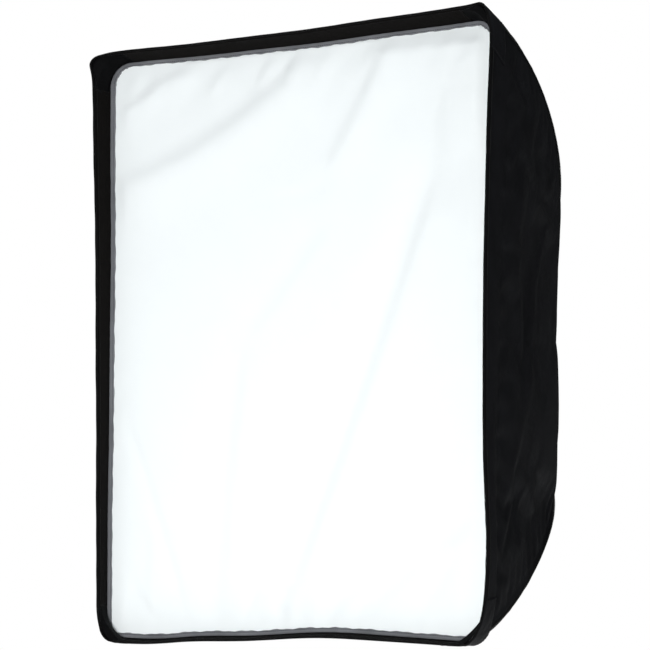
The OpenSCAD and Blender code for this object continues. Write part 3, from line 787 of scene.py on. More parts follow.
def lip_tape(side):
    """Loop tape inside the lip, with its two rows of stitches."""
    reach = halves(side)[1] - TAPE_END
    e = CLOTH + 0.1 * MM
    name = f"lip_tape_{SIDES[side]}"
    tape = skin_tape(name + "_loop", side, (-reach, reach), (3.4 * MM, TAPE_BACK), e,
                     1.15 * MM, (30, 360), 0.12 * MM, (14, 300), 0.25 * MM)
    a = np.linspace(-reach + 3 * MM, reach - 3 * MM, 200)
    b = np.linspace(5.5 * MM, TAPE_BACK - 2 * MM, 20)
    lift = e + 1.2 * MM
    rows = [skin(side, a, 6 * MM, lift), skin(side, a, TAPE_BACK - 2.4 * MM, lift)]
    rows += [skin(side, end * (reach - 2.6 * MM), b, lift) for end in (-1, 1)]
    thread = stitches(name + "_stitches", rows, [inward(side)] * 4)
    fit_out(tape, LOOP, "box", name)
    fit_out(thread, THREAD, "box")


def inward(side):
    return ((-1, 0, 0), (0, 0, -1), (1, 0, 0), (0, 0, 1))[side]


def outward(side):
    return tuple(-x for x in inward(side))


# ==== round the mouth ====


def mouth_loop(b, e, per_side=220):
    """Points all round the box at depth b and inset e, both scalars."""
    rows = []
    for side in range(4):
        t = np.linspace(-1, 1, per_side, endpoint=False)
        t = t + 0.05 * np.sin(np.pi * t)
        a = t * side_reach(side, b)
        rows.append(skin(side, a, b, e))
    return np.concatenate(rows)


def rim_binding():
    """Tape folded round the front edge, thicker where it is sewn."""
    outer, inner, front = -0.75 * MM, CLOTH + 0.85 * MM, -1.3 * MM
    section = [
        (10.5 * MM, -0.15 * MM), (10.5 * MM, outer), (6 * MM, outer * 1.15), (2 * MM, outer),
        (0.2 * MM, outer * 0.8), (front * 0.75, 0.0), (front, CLOTH / 2),
        (front * 0.75, CLOTH), (0.2 * MM, inner * 0.95), (1.2 * MM, inner),
        (2.2 * MM, inner), (2.6 * MM, CLOTH + 0.1 * MM),
    ]
    rows = np.stack([mouth_loop(b, e) for b, e in section])
    along = np.arange(rows.shape[1]) / rows.shape[1]
    ripple = 0.35 * np.sin(2 * np.pi * 61 * along) + 0.3 * np.sin(2 * np.pi * 23 * along + 1)
    rows[..., 1] += ripple * MM * np.linspace(1, 0.2, len(section))[:, None]
    piece = ring_piece("rim_binding_tape", rows, 0.002, 2.9)
    rows = [mouth_loop(b, e) for b, e in ((7.5 * MM, outer * 1.2), (8.9 * MM, outer * 1.1))]
    split = [np.array_split(closed_loop(row), 4) for row in rows]
    paths = [part for row in split for part in row]
    ups = [outward(side) for _ in split for side in range(4)]
    thread = stitches("rim_binding_stitches", paths, ups)
    fit_out(piece, WEBBING, "box", "rim_binding")
    fit_out(thread, THREAD, "box")


def round_corner(corner, b, reach, e, count):
    """Points across one corner seam, reach either side of it. Corner k lies after side k."""
    side, after = corner, (corner + 1) % 4
    a = np.linspace(-reach, 0, count)
    first = skin(side, side_reach(side, b) + a, b, e)
    second = skin(after, -side_reach(after, b) - a[::-1][1:], b, e)
    return np.concatenate([first, second])


def corner_sheet(name, corner, b_range, reach, e, thick, steps, rounding, ripple=0.0):
    n, m = steps
    depths = np.linspace(*b_range, n)
    rise = edge_round(n, 2 * m - 1, *rounding)
    if ripple:
        rise = rise * (1 + ripple * smooth_noise(rise.shape, 4, corner + 31))
    top = np.stack([round_corner(corner, b, reach, e, m) for b in depths])
    base = np.stack([round_corner(corner, b, reach, e + thick, m) for b in depths])
    top = base + (top - base) * rise[..., None]
    across = np.linspace(-reach, reach, 2 * m - 1)
    uv = np.stack(np.meshgrid(depths, across, indexing="ij"), -1)
    return slab(name, top, base, uv)


def corner_patch(corner):
    """Doubled cloth round the outside of a mouth corner."""
    name = f"patch_{CORNERS[corner]}"
    patch = corner_sheet(name + "_cloth", corner, (0.6 * MM, PATCH_DEPTH), PATCH_REACH,
                         -1.15 * MM, 1.0 * MM, (34, 44), (40, 40), 0.25)
    inset = 3 * MM
    depth = PATCH_DEPTH - inset
    across = round_corner(corner, depth, PATCH_REACH - inset, -1.3 * MM, 30)
    half = len(across) // 2
    edges = np.stack([round_corner(corner, b, PATCH_REACH - inset, -1.3 * MM, 3)
                      for b in np.linspace(12 * MM, depth, 30)])
    paths = [across[: half + 1], across[half:], edges[:, 0], edges[:, -1]]
    ups = [outward(corner), outward((corner + 1) % 4)] * 2
    thread = stitches(name + "_stitches", paths, ups)
    fit_out(patch, NYLON, "box", name)
    fit_out(thread, THREAD, "box")


def corner_seam(corner):
    """Binding tape over the corner seam, behind the patch."""
    name = f"seam_{CORNERS[corner]}"
    reach = 8 * MM
    tape = corner_sheet(name + "_tape", corner, (PATCH_DEPTH - 2 * MM, DEPTH - 12 * MM), reach,
                        -1.3 * MM, 1.15 * MM, (150, 7), (300, 6), 0.3)
    line = np.linspace(PATCH_DEPTH + 1 * MM, DEPTH - 14 * MM, 120)
    edge = np.stack([round_corner(corner, b, reach - 2 * MM, -1.35 * MM, 2) for b in line])
    ups = [outward(corner), outward((corner + 1) % 4)]
    thread = stitches(name + "_stitches", [edge[:, 0], edge[:, -1]], ups)
    fit_out(tape, SEAM, "box", name)
    fit_out(thread, THREAD, "box")


# ==== rods and pockets ====


def corner_line(depths, inset):
    """Points along the sharp corner seam in the corner plane: distance from the axis, and y."""
    u = depths / HALF_H
    half_d = math.hypot(HALF_W, HALF_H)
    tilt = lean(half_d, u)
    rho = half_d * share(u) - inset * np.cos(tilt)
    return rho, RIM_Y + depths - inset * np.sin(tilt), tilt


def in_corner(rho, y, corner):
    """Places corner-plane points at one of the four corners."""
    sx = 1 if "right" in CORNERS[corner] else -1
    sz = 1 if "top" in CORNERS[corner] else -1
    half_d = math.hypot(HALF_W, HALF_H)
    return np.stack([sx * rho * HALF_W / half_d, y, sz * rho * HALF_H / half_d], -1)


def rod(corner):
    """A bent spring rod, from its cap to its sleeve in the ring."""
    name = f"rod_{CORNERS[corner]}"
    inset = 11 * MM
    rho, y, tilt = corner_line(np.linspace(0.0269 * HALF_H, DEPTH, 60), inset)
    axis = math.radians(-20)
    toward = np.array([math.cos(axis), math.sin(axis)])
    root = np.array([RING_R + 2 * MM, -27.8 * MM])
    last = root + 37 * MM * toward
    first = np.array([rho[-1], y[-1]])
    reach = np.linalg.norm(first - last) / 3
    leave = np.array([-math.sin(tilt[-1]), math.cos(tilt[-1])])
    handles = (first, first + reach * leave, last + reach * toward, last)
    curve = cubic(handles, np.linspace(0, 1, 12)[1:, None])
    path = np.concatenate([np.stack([rho, y], -1), curve, [root + 25 * MM * toward]])
    points = in_corner(path[:, 0], path[:, 1], corner)
    up = np.cross(points[-1] - points[0], (0, 1, 0))
    bar = tube(name + "_bar", points, 2.5 * MM, 14, up)
    fit_out(bar, SPRING, "box", name)


def lining_row(corner, b, r, e, count=26):
    """Points across one corner on a curve of radius r, with a sewn edge on each wall."""
    side, after = corner, (corner + 1) % 4
    edge = halves(side)[1] * share(b / HALF_H) - e
    edge_after = halves(after)[1] * share(b / HALF_H) - e
    wall = np.linspace(7 * MM, 0, 5)
    first = skin(side, edge - r - wall, b, e)
    second = skin(after, -edge_after + r + wall[::-1], b, e)
    toward = first[-1] - first[0]
    toward /= np.linalg.norm(toward)
    back = second[0] - second[-1]
    back /= np.linalg.norm(back)
    handles = (first[-1], first[-1] + 0.56 * r * toward, second[0] + 0.56 * r * back, second[0])
    return np.concatenate([first, cubic(handles, np.linspace(0, 1, count)[1:-1, None]), second])


def pocket(corner):
    """Doubled cloth across the inside of the corner, which holds the rod's tip."""
    name = f"pocket_{CORNERS[corner]}"
    depths = np.concatenate([np.linspace(1.5, 9, 9), np.linspace(10, LIP_DEPTH / MM - 1.2, 14)])
    depths = depths * MM
    grow = np.clip(depths / (9 * MM), 0, 1)
    radii = (17 + 27 * grow * grow * (3 - 2 * grow)) * MM
    e = CLOTH + 0.25 * MM
    top = np.stack([lining_row(corner, b, r, e + 0.9 * MM) for b, r in zip(depths, radii)])
    base = np.stack([lining_row(corner, b, r, e) for b, r in zip(depths, radii)])
    rise = edge_round(*top.shape[:2], 30, 60)[..., None]
    crinkle = 0.35 * MM * smooth_noise(top.shape[:2], 5, corner + 71)[..., None]
    normal = normals_of(top)
    top = base + (top - base) * rise + normal * crinkle * rise
    uv = np.stack(np.meshgrid(depths, np.linspace(0, 0.08, top.shape[1]), indexing="ij"), -1)
    piece = slab(name + "_cloth", top, base, uv)
    ends = [top[1:-1, k] for k in (2, -3)]
    ups = [inward(corner), inward((corner + 1) % 4)]
    thread = stitches(name + "_stitches", ends, ups)
    # The pockets take the darkened nylon: painted shade of the recess inside the lip.
    fit_out(piece, LIP_NYLON_PAINTED_SHADE, "box", name)
    fit_out(thread, THREAD, "box")


def rod_cap():
    """Moulded caps on the rods' tips."""
    parts = []
    for corner in range(4):
        depths = np.array([8.5, 8.7, 9.4, 10.6, 13, 17, 21, 22.4, 22.9, 23]) * MM
        radius = np.array([0.3, 0.62, 0.88, 1, 1, 0.97, 0.97, 1, 0.9, 0.6]) * 4.5 * MM
        rho, y, _ = corner_line(depths, 11 * MM)
        parts.append(tube(f"rod_cap_{corner}", in_corner(rho, y, corner), radius, 24))
    fit_out(join(parts, "rod_tip_caps"), PLASTIC, "box", "rod_caps")


# ==== front diffuser ====

BINDING_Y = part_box("diffuser_binding")[0].y
CLOTH_Y = sum(p.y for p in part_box("diffuser_cloth")) / 2
CORNER_R = (34 * MM, 34 * MM, 14 * MM, 17 * MM)
EDGE_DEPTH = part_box("diffuser_cloth")[1].y - RIM_Y
EDGE_GAP = 2.5 * MM + 0.9 * MM
EDGE_EASE = (0, 1.0 * MM, 2.0 * MM, 0.5 * MM)
BINDING_SHOWN = (1, 0.68, 0.96, 0.7)
BINDING_W = 9 * MM


def diffuser_outline(inset=0.0, per_side=110, per_corner=26):
    """The diffuser's edge, following the lip, as X and Z round its middle."""
    sides = []
    for side in range(4):
        reach = halves(side)[1] * share(EDGE_DEPTH / HALF_H) - EDGE_GAP
        a = np.linspace(CORNER_R[side - 1] - reach, reach - CORNER_R[side], per_side)
        ease = EDGE_EASE[side] * (1 - (a / a[-1]) ** 4)
        e = EDGE_GAP + inset * BINDING_SHOWN[side] - ease
        sides.append(skin(side, a, EDGE_DEPTH, e, 0.0)[:, (0, 2)])
    out = []
    t = np.linspace(0, 1, per_corner)[1:-1, None]
    for side in range(4):
        line, after = sides[side], sides[(side + 1) % 4]
        r = max(CORNER_R[side] - inset, 4 * MM)
        out.append(line)
        d0 = line[-1] - line[-2]
        d1 = after[1] - after[0]
        h0 = line[-1] + 0.5523 * r * d0 / np.linalg.norm(d0)
        h1 = after[0] - 0.5523 * r * d1 / np.linalg.norm(d1)
        out.append(cubic((line[-1], h0, h1, after[0]), t))
    return np.concatenate(out)


def inside_outline(points, outline):
    """Which points lie inside a closed outline."""
    x, z = points[:, 0][:, None], points[:, 1][:, None]
    x0, z0 = outline[:, 0][None], outline[:, 1][None]
    x1, z1 = np.roll(outline[:, 0], -1)[None], np.roll(outline[:, 1], -1)[None]
    crosses = (z0 > z) != (z1 > z)
    at = x0 + (z - z0) / np.where(z1 == z0, 1e-12, z1 - z0) * (x1 - x0)
    return (np.sum(crosses & (x < at), axis=1) % 2) == 1


def cloth_in(outline, step, y, name):
    """A flat triangulated sheet inside an outline."""
    lo, hi = outline.min(0), outline.max(0)
    xs = np.arange(lo[0], hi[0], step)
    zs = np.arange(lo[1], hi[1], step * 0.87)
    x, z = np.meshgrid(xs, zs)
    x = x + (np.arange(len(zs)) % 2)[:, None] * step / 2
    points = np.stack([x.ravel(), z.ravel()], -1)
    middle = outline.mean(0)
    tight = middle + (outline - middle) * (1 - 0.6 * step / np.abs(outline - middle).max())
    points = points[inside_outline(points, tight)]
    border = [Vector(p) for p in outline]
    inner = [Vector(p) for p in points]
    edges = [(k, (k + 1) % len(border)) for k in range(len(border))]
    co, _, faces, *_ = delaunay_2d_cdt(border + inner, edges, [], 1, 1e-7)
    verts = [(p.x, y, p.y) for p in co]
    return new_piece(name, verts, [list(f) for f in faces])


def distance_to(points, outline):
    """Distance of each point from the nearest outline point."""
    best = np.full(len(points), 9.0)
    for start in range(0, len(outline), 60):
        part = outline[start : start + 60]
        gap = np.linalg.norm(points[:, None] - part[None], axis=2).min(1)
        best = np.minimum(best, gap)
    return best


def thicken(sheet, name, thick, folds=None):
    """Turns an open sheet into a closed one of that thickness, with UVs in metres."""
    mesh = sheet.data
    co = np.array([v.co for v in mesh.vertices])
    if folds is not None:
        co[:, 1] += folds(co[:, 0], co[:, 2])
        mesh.vertices.foreach_set("co", co.ravel())
        mesh.update()
    normal = np.array([v.normal for v in mesh.vertices])
    faces = [tuple(p.vertices) for p in mesh.polygons]
    count = len(co)
    back = [tuple(k + count for k in f[::-1]) for f in faces]
    used = {}
    for f in faces:
        for a, b in zip(f, f[1:] + f[:1]):
            used[(a, b)] = True
    walls = [(b, a, a + count, b + count) for a, b in used if (b, a) not in used]
    verts = np.concatenate([co + normal * thick / 2, co - normal * thick / 2])
    uvs = np.concatenate([co[:, (0, 2)]] * 2)
    piece = new_piece(name, verts, faces + back + walls, uvs)
    make_outward(piece)
    bpy.data.objects.remove(sheet)
    return piece


# Folds of the tight front cloth: start, middle and end as (x, z) in mm, width and depth
DIFFUSER_FOLDS = (
    ((-295, 320), (-235, 345), (-165, 390), 15, 1.9),
    ((-145, 340), (-125, 360), (-105, 385), 9, 0.8),
    ((-320, 210), (-130, 235), (55, 385), 30, 3.4),
    ((60, 215), (110, 305), (160, 390), 20, 2.0),
    ((225, 330), (200, 240), (235, 150), 26, -1.4),
    ((215, 240), (150, 20), (-30, -400), 24, -2.7),
    ((-85, 10), (-120, -190), (-125, -400), 26, -1.3),
    ((-280, -90), (-220, -235), (-160, -390), 8, -0.8),
    ((55, 160), (-20, 85), (-80, 5), 22, -0.9),
    ((-30, 190), (10, 192), (55, 200), 10, -0.5),
    ((310, -220), (165, -320), (90, -385), 22, -1.3),
    ((275, 115), (290, 50), (285, -150), 14, -1.0),
    ((-240, -255), (-243, -330), (-240, -385), 10, -0.5),
    ((-50, -330), (-60, -360), (-78, -395), 9, -1.0),
    ((140, -300), (90, -350), (50, -390), 12, -0.9),
    ((260, -285), (230, -340), (195, -390), 14, -0.9),
    ((-60, 345), (-50, 365), (-35, 385), 8, 0.9),
    ((-15, 350), (-5, 370), (5, 390), 8, 1.0),
    ((100, 345), (112, 365), (120, 385), 9, 0.8),
    ((-265, -330), (-240, -360), (-215, -385), 10, -0.9),
    ((310, 430), (318, 0), (310, -430), 60, 3.5),
    ((120, 420), (260, 400), (330, 250), 60, 4.0),
)


def curved_fold(x, z, start, middle, end, width, depth):
    """Depth of one fold along a curve, steeper on one side, and fading out at its ends."""
    t = np.linspace(0, 1, 40)
    weights = ((1 - t) ** 2, 2 * t * (1 - t), t * t)
    cx, cz = (sum(w * p[k] for w, p in zip(weights, (start, middle, end))) for k in range(2))
    dx, dz = np.gradient(cx), np.gradient(cz)
    best = np.full(len(x), 1e9)
    side, at = np.zeros(len(x)), np.zeros(len(x))
    for k in range(len(t)):
        gap = np.hypot(x - cx[k], z - cz[k])
        closer = gap < best
        best = np.where(closer, gap, best)
        turn = ((x - cx[k]) * dz[k] - (z - cz[k]) * dx[k]) / np.hypot(dx[k], dz[k])
        side, at = np.where(closer, turn, side), np.where(closer, t[k], at)
    spread = width * (1 + 0.45 * np.tanh(side / width))
    fade = np.clip(4.5 * at, 0, 1) * np.clip(4.5 * (1 - at), 0, 1)
    return depth * np.exp(-((best / spread) ** 2)) * fade * (2 - fade)


def diffuser_folds(x, z):
    """Shallow folds that fan out from the corners, and small puckers along the binding."""
    edge = np.clip((HALF_W - 0.018 - np.abs(x)) / 0.018, 0, 1)
    edge = edge * np.clip((HALF_H - 0.018 - np.abs(z)) / 0.024, 0, 1)
    out = sum(curved_fold(x / MM, z / MM, *fold) for fold in DIFFUSER_FOLDS)
    low = np.exp(-(((z + HALF_H) / 0.07) ** 2))
    out = out + 0.5 * np.sin(x / 0.009 + 3 * np.sin(x / 0.05)) * low
    high = np.exp(-(((z - HALF_H) / 0.06) ** 2))
    out = out + 0.5 * np.sin((x - 0.6 * z) / 0.009 + 2 * np.sin(x / 0.04)) * high
    side = np.exp(-(((HALF_W - np.abs(x)) / 0.04) ** 2))
    out = out + 0.4 * np.sin(z / 0.011 + 2 * np.sin(z / 0.05)) * side
    return -1.7 * out * edge * MM


def diffuser():
    outline = diffuser_outline()
    hidden = diffuser_outline(1.5 * MM)
    sheet = cloth_in(hidden, 6.5 * MM, CLOTH_Y, "diffuser_sim")
    co = np.array([v.co for v in sheet.data.vertices])
    held = np.flatnonzero(distance_to(co[:, (0, 2)], outline) < BINDING_W - 1 * MM)
    settle(sheet, held, 0.0035, 6 * MM, gravity=0.25, bend=0.8)
    cloth = thicken(sheet, "diffuser_front_cloth", 0.5 * MM, diffuser_folds)
    fit_out(cloth, WHITE, "diffuser", "diffuser_cloth")
    ring = diffuser_binding()
    for side in range(4):
        hook_tape(side)


def diffuser_binding():
    """Dark tape folded over the diffuser's edge; its stitching pulls it into small scallops."""
    front, back = BINDING_Y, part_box("diffuser_cloth")[1].y + 0.3 * MM
    count = len(diffuser_outline())
    along = np.arange(count) / count
    scallop = 0.45 * np.sin(2 * np.pi * 148 * along) + 0.5 * np.sin(2 * np.pi * 57 * along)
    section = [
        (BINDING_W, CLOTH_Y - 0.35 * MM), (BINDING_W, CLOTH_Y - 0.7 * MM),
        (BINDING_W - 0.8 * MM, front + 0.25 * MM), (BINDING_W * 0.72, front + 0.35 * MM),
        (BINDING_W * 0.5, front), (BINDING_W * 0.2, front), (0.5 * MM, front + 0.15 * MM),
        (0.0, front + 0.5 * MM), (0.0, back - 0.4 * MM), (0.6 * MM, back),
        (BINDING_W * 0.5, back), (BINDING_W, back), (BINDING_W, CLOTH_Y + 0.35 * MM),
    ]
    rows = []
    for inset, y in section:
        line = diffuser_outline(inset)
        toward = -line / np.linalg.norm(line, axis=1, keepdims=True)
        line = line + toward * (scallop * MM * (inset / BINDING_W) ** 2)[:, None]
        swell = 0.12 * MM * np.sin(2 * np.pi * 148 * along + 1) * (y < CLOTH_Y)
        rows.append(np.stack([line[:, 0], y + swell, line[:, 1]], -1))
    piece = ring_piece("diffuser_edge_binding", np.array(rows), 0.0015, 2.8)
    line = diffuser_outline(BINDING_W * 0.72)
    row = np.stack([line[:, 0], np.full(len(line), front + 0.22 * MM), line[:, 1]], -1)
    thread = stitches("diffuser_binding_stitches", [closed_loop(row)], [(0, -1, 0)])
    fit_out(piece, BINDING, "diffuser", "diffuser_binding")
    fit_out(thread, THREAD, "diffuser")
    return piece


def hook_tape(side):
    """Hook tape behind the diffuser's edge, which presses on the loop tape."""
    name = f"hook_tape_{SIDES[side]}"
    reach = halves(side)[1] - TAPE_END
    lo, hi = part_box(name)
    span = (lo.y - RIM_Y + 1 * MM, hi.y - RIM_Y)
    tape = skin_tape(name + "_strip", side, (-reach, reach), span, 3.0 * MM, 1.1 * MM,
                     (12, 220), 0.1 * MM, (14, 300))
    fit_out(tape, HOOK, "diffuser", name)


# ==== inner baffle ====


def baffle():
    lo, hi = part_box("baffle_hem")
    y = (lo.y + hi.y) / 2
    hem_w = hi.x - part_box("baffle_cloth")[1].x
    half = np.array([hi.x, hi.z])

    def outline(inset, count=40):
        return round_rectangle(*(half - inset), 14 * MM - inset, 9, 4 * count)

    sheet = cloth_in(outline(1 * MM, count=60), 9 * MM, y, "baffle_sim")
    co = np.array([v.co for v in sheet.data.vertices])
    held = np.flatnonzero(distance_to(co[:, (0, 2)], outline(0)) < hem_w)
    settle(sheet, held, 0.008, 9 * MM, gravity=0.5, bend=0.8)
    cloth = thicken(sheet, "baffle_inner_cloth", 0.4 * MM)
    fit_out(cloth, BAFFLE, "baffle", "baffle_cloth")
    hem = baffle_hem(outline, y, hem_w)
    straps(y, half)
    baffle_loops()


def baffle_hem(outline, y, hem_w):
    """White tape folded over the baffle's edge."""
    section = [(0.0, -0.8), (hem_w * 0.5, -1.0), (hem_w, -0.8), (hem_w, -0.3), (hem_w, 0.3),
               (hem_w, 0.8), (hem_w * 0.5, 1.0), (0.0, 0.8)]
    rows = []
    for inset, rise in section:
        line = outline(inset, 160)
        wave_y = 0.25 * np.sin(2 * np.pi * 40 * np.arange(len(line)) / len(line))
        rows.append(np.stack([line[:, 0], y + (rise + wave_y) * MM, line[:, 1]], -1))
    hem = ring_piece("baffle_hem_tape", np.array(rows), 0.002, 2.05)
    line = outline(hem_w * 0.8, 160)
    paths = []
    for face in (-1, 1):
        row = np.stack([line[:, 0], np.full(len(line), y + face * 1.15 * MM), line[:, 1]], -1)
        paths.append(closed_loop(row))
    thread = stitches("baffle_stitches", paths, [(0, -1, 0), (0, 1, 0)])
    fit_out(hem, BAFFLE_HEM, "baffle", "baffle_hem")
    fit_out(thread, WHITE_THREAD, "baffle")
    return hem


def straps(y, half):
    """Ribbed elastic from the baffle's hem to the loop patches."""
    parts = []
    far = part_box("baffle_straps")[1]
    n, m = 26, 9
    sway = np.sin(np.pi * np.linspace(0, 1, n))[:, None]
    across = np.linspace(-9.6 * MM, 9.6 * MM, m)[None, :] + np.zeros((n, m))
    edge = 0.5 * MM * edge_round(n, m, 0, 8)
    for side, along, _ in strap_places():
        start = half[side % 2] - 7 * MM
        end = (far.x if side % 2 == 0 else far.z) - 4 * MM
        out = np.linspace(start, end, n)[:, None] + np.zeros((n, m))
        lift = (1.3 * MM) * (out < half[side % 2] + 1 * MM)
        middle = y + 1.1 * MM * sway - lift
        x, z = (1 if side < 2 else -1) * out, along + across * (1 - 0.1 * sway)
        if side % 2:
            x, z = z, x
        front, rear = (np.stack([x, middle + gap, z], -1) for gap in (-edge, edge))
        uv = np.stack([out, across], -1)
        parts.append(slab(f"baffle_strap_{side}_{int(100 + along * 100)}", front, rear, uv))
    whole = join(parts, "baffle_elastic_straps")
    fit_out(whole, ELASTIC, "baffle", "baffle_straps")


def baffle_loops():
    """Loop patches sewn inside the shell, where the baffle's straps hook on."""
    size = 12 * MM
    parts = []
    for side, along, middle in strap_places():
        parts.append(skin_tape(f"loop_patch_{side}_{int(100 + along * 100)}", side,
                               (middle - size, middle + size),
                               (LOOP_DEPTH - size, LOOP_DEPTH + size), CLOTH, 1.2 * MM,
                               (14, 14), 0.1 * MM, (12, 12)))
    whole = join(parts, "baffle_loop_patches")
    fit_out(whole, LOOP, "box", "baffle_loops")


def join(parts, name):
    """Merges meshes into one piece."""
    verts, faces, uvs, start = [], [], [], 0
    for part in parts:
        mesh = part.data
        co = np.array([v.co for v in mesh.vertices])
        uv = np.zeros((len(co), 2))
        layer = mesh.uv_layers[0].data
        for loop in mesh.loops:
            uv[loop.vertex_index] = layer[loop.index].uv
        verts.append(co)
        uvs.append(uv)
        faces += [tuple(k + start for k in p.vertices) for p in mesh.polygons]
        start += len(co)
        bpy.data.objects.remove(part)
    return new_piece(name, np.concatenate(verts), faces, np.concatenate(uvs))


# ==== rear opening and flaps ====


def rear_hem():
    """Webbing folded over the shell's rear edge, where the flaps hang."""
    lo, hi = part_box("rear_hem")
    half = np.array([hi.x, hi.z])
    y0, y1 = lo.y, hi.y
    section = [(-0.3, y0 - 0.009), (-0.9, y0 - 0.008), (-0.9, y0), (-0.5, y1 - 0.0006),
               (0.3, y1), (1.8, y1), (2.4, y1 - 0.0005), (2.5, y0), (1.9, y0 - 0.0005)]

    def loop(inset, y):
        size = half + max(y0 - y, 0) * np.array([1.385, 1.79]) - inset
        x, z = round_rectangle(*size, 5 * MM, 7, 240).T
        return np.stack([x, np.full(len(x), y), z], -1)

    rows = np.array([loop(inset * MM, y) for inset, y in section])
    piece = ring_piece("rear_hem_webbing", rows, 0.002, 0.97)
    row = loop(-1.0 * MM, y0 - 0.0045)
    thread = stitches("rear_hem_stitches", [closed_loop(row)], [(0, 1, 0)])
    fit_out(piece, WEBBING, "box", "rear_hem")
    fit_out(thread, THREAD, "box")


JOINTS = {joint["name"]: joint for joint in frame["joints"]}
FLAP_END = np.array([79.5 * MM, -22 * MM])
RING_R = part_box("speed_ring")[1].x


def flap(side):
    """A cloth flap that bends at the rear hem and closes on the ring."""
    name = f"flap_{SIDES[side]}"
    joint = JOINTS[name + "_fold"]
    pos = np.abs(np.array(joint["pos_m"]))
    hinge = np.array([pos[0] if side % 2 == 0 else pos[2], joint["pos_m"][1]])
    down = FLAP_END - hinge
    down /= np.linalg.norm(down)
    other_name = "flap_top_fold" if side % 2 == 0 else "flap_right_fold"
    other_pos = JOINTS[other_name]["pos_m"]
    other = np.array([other_pos[2] if side % 2 == 0 else other_pos[0], other_pos[1]])
    other_down = FLAP_END - other
    other_down /= np.linalg.norm(other_down)
    rows, columns = 46, 96
    t = np.linspace(-1, 1, columns)[None, :] + np.zeros((rows, 1))
    margin = 0.8 * MM if side % 2 == 0 else 4.2 * MM
    clear = RING_R + 2.4 * MM

    def width_at(y):
        return other[0] - (y - other[1]) * (-other_down[0] / other_down[1]) - margin

    longest = (-7.5 * MM - hinge[1]) / down[1]
    fraction = np.linspace(0, 1, rows)[:, None]
    along = fraction * longest + np.zeros_like(t)
    for _ in range(30):
        out = hinge[0] + along * down[0]
        y = hinge[1] + along * down[1]
        across = t * width_at(y)
        end = longest * np.ones_like(t)
        reach = np.sqrt(np.maximum(clear**2 - across**2, 0))
        stop = (reach - hinge[0]) / down[0]
        end = np.minimum(end, np.where(np.abs(across) < clear, stop, longest))
        if side == 0:
            notch = np.clip((13.5 * MM - np.abs(across)) / (1.0 * MM), 0, 1)
            end = end * (1 - notch) + np.minimum(end, 18 * MM) * notch
        along = fraction * end
    out = hinge[0] + along * down[0]
    y = hinge[1] + along * down[1]
    across = t * width_at(y)
    bulge = 1.6 * MM * np.sin(np.pi * np.clip(along / longest, 0, 1)) * (1 - t**4)
    ripple = 0.5 * MM * np.sin(across / 0.012 + side) * (along / longest)
    rise = bulge + ripple * (1 - np.abs(t) ** 6)
    normal = np.array([-down[1], down[0]]) * -1
    start_fix = np.clip(along / (4 * MM), 0, 1)
    hem = 0.35 * MM * (np.clip((along / end - 0.86) / 0.02, 0, 1))
    hem = np.maximum(hem, 0.35 * MM * np.clip((np.abs(t) - 0.95) / 0.01, 0, 1))
    half_t = 0.45 * MM + hem

    def place(offset):
        o = out + normal[0] * offset
        yy = y + normal[1] * offset
        if side == 0:
            return np.stack([o, yy, across], -1)
        if side == 1:
            return np.stack([-across, yy, o], -1)
        if side == 2:
            return np.stack([-o, yy, -across], -1)
        return np.stack([across, yy, -o], -1)

    top = place(rise * start_fix + half_t)
    bottom = place(rise * start_fix - half_t)
    uv = np.stack([across, along], -1)
    cloth = slab(name + "_cloth", top, bottom, uv)
    fit_out(cloth, NYLON, name, name)
    strips = flap_hooks(side, name, hinge, down)


def flap_hooks(side, name, hinge, down):
    """Hook strips sewn on the flap's inner face."""
    spans = ((16, 64), (-64, -16)) if side % 2 == 0 else ((-52, 52),)
    s0, s1 = (18, 32) if side % 2 == 0 else (36, 50)
    normal = np.array([down[1], -down[0]])
    normal = normal if normal[0] < 0 else -normal
    parts = []
    for number, (lo, hi) in enumerate(spans):
        n, m = 10, 34
        along = np.linspace(s0, s1, n)[:, None] * MM + np.zeros((n, m))
        across = np.linspace(lo, hi, m)[None, :] * MM + np.zeros((n, m))
        rise = 0.9 * MM * edge_round(n, m, 12, 30)

        def place(offset):
            o = hinge[0] + along * down[0] + normal[0] * offset
            y = hinge[1] + along * down[1] + normal[1] * offset
            sign = 1 if side < 2 else -1
            if side % 2 == 0:
                return np.stack([sign * o, y, across], -1)
            return np.stack([across, y, sign * o], -1)

        uv = np.stack([across, along], -1)
        top, base = place(0.9 * MM + rise), place(0.2 * MM + 0 * rise)
        parts.append(slab(f"{name}_hook_{number}", top, base, uv))
    whole = join(parts, name + "_hook_strips")
    return fit_out(whole, HOOK, name, f"flap_hooks_{SIDES[side]}")


def ring_band():
    """Loop band glued round the ring, between the sockets."""
    lo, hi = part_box("ring_loop_band")
    parts = []
    half_gap = math.asin(13.6 * MM / RING_R)
    corner_angles = sorted(math.atan2(sz * HALF_H, sx * HALF_W) for sx, sz in QUARTERS)
    corner_angles.append(corner_angles[0] + 2 * np.pi)
    for number, (first, second) in enumerate(zip(corner_angles, corner_angles[1:])):
        angle = np.linspace(first + half_gap, second - half_gap, 70)[None, :]
        y = np.linspace(lo.y, hi.y, 12)[:, None]
        rise = 1.0 * MM * edge_round(12, 70, 10, 60)
        rise = rise + 0.08 * MM * smooth_noise(rise.shape, 1, number) * (rise > 0)
        r = RING_R + 0.05 * MM + rise
        top = np.stack([r * np.cos(angle), y + 0 * angle, r * np.sin(angle)], -1)
        r0 = RING_R + 0.05 * MM + 0 * rise
        base = np.stack([r0 * np.cos(angle), y + 0 * angle, r0 * np.sin(angle)], -1)
        uv = np.stack(np.broadcast_arrays(angle * RING_R, y), -1)
        parts.append(slab(f"ring_band_{number}", top, base, uv))
    whole = join(parts, "ring_loop_fabric")
    fit_out(whole, LOOP, "box", "ring_loop_band")


# ==== stage ====

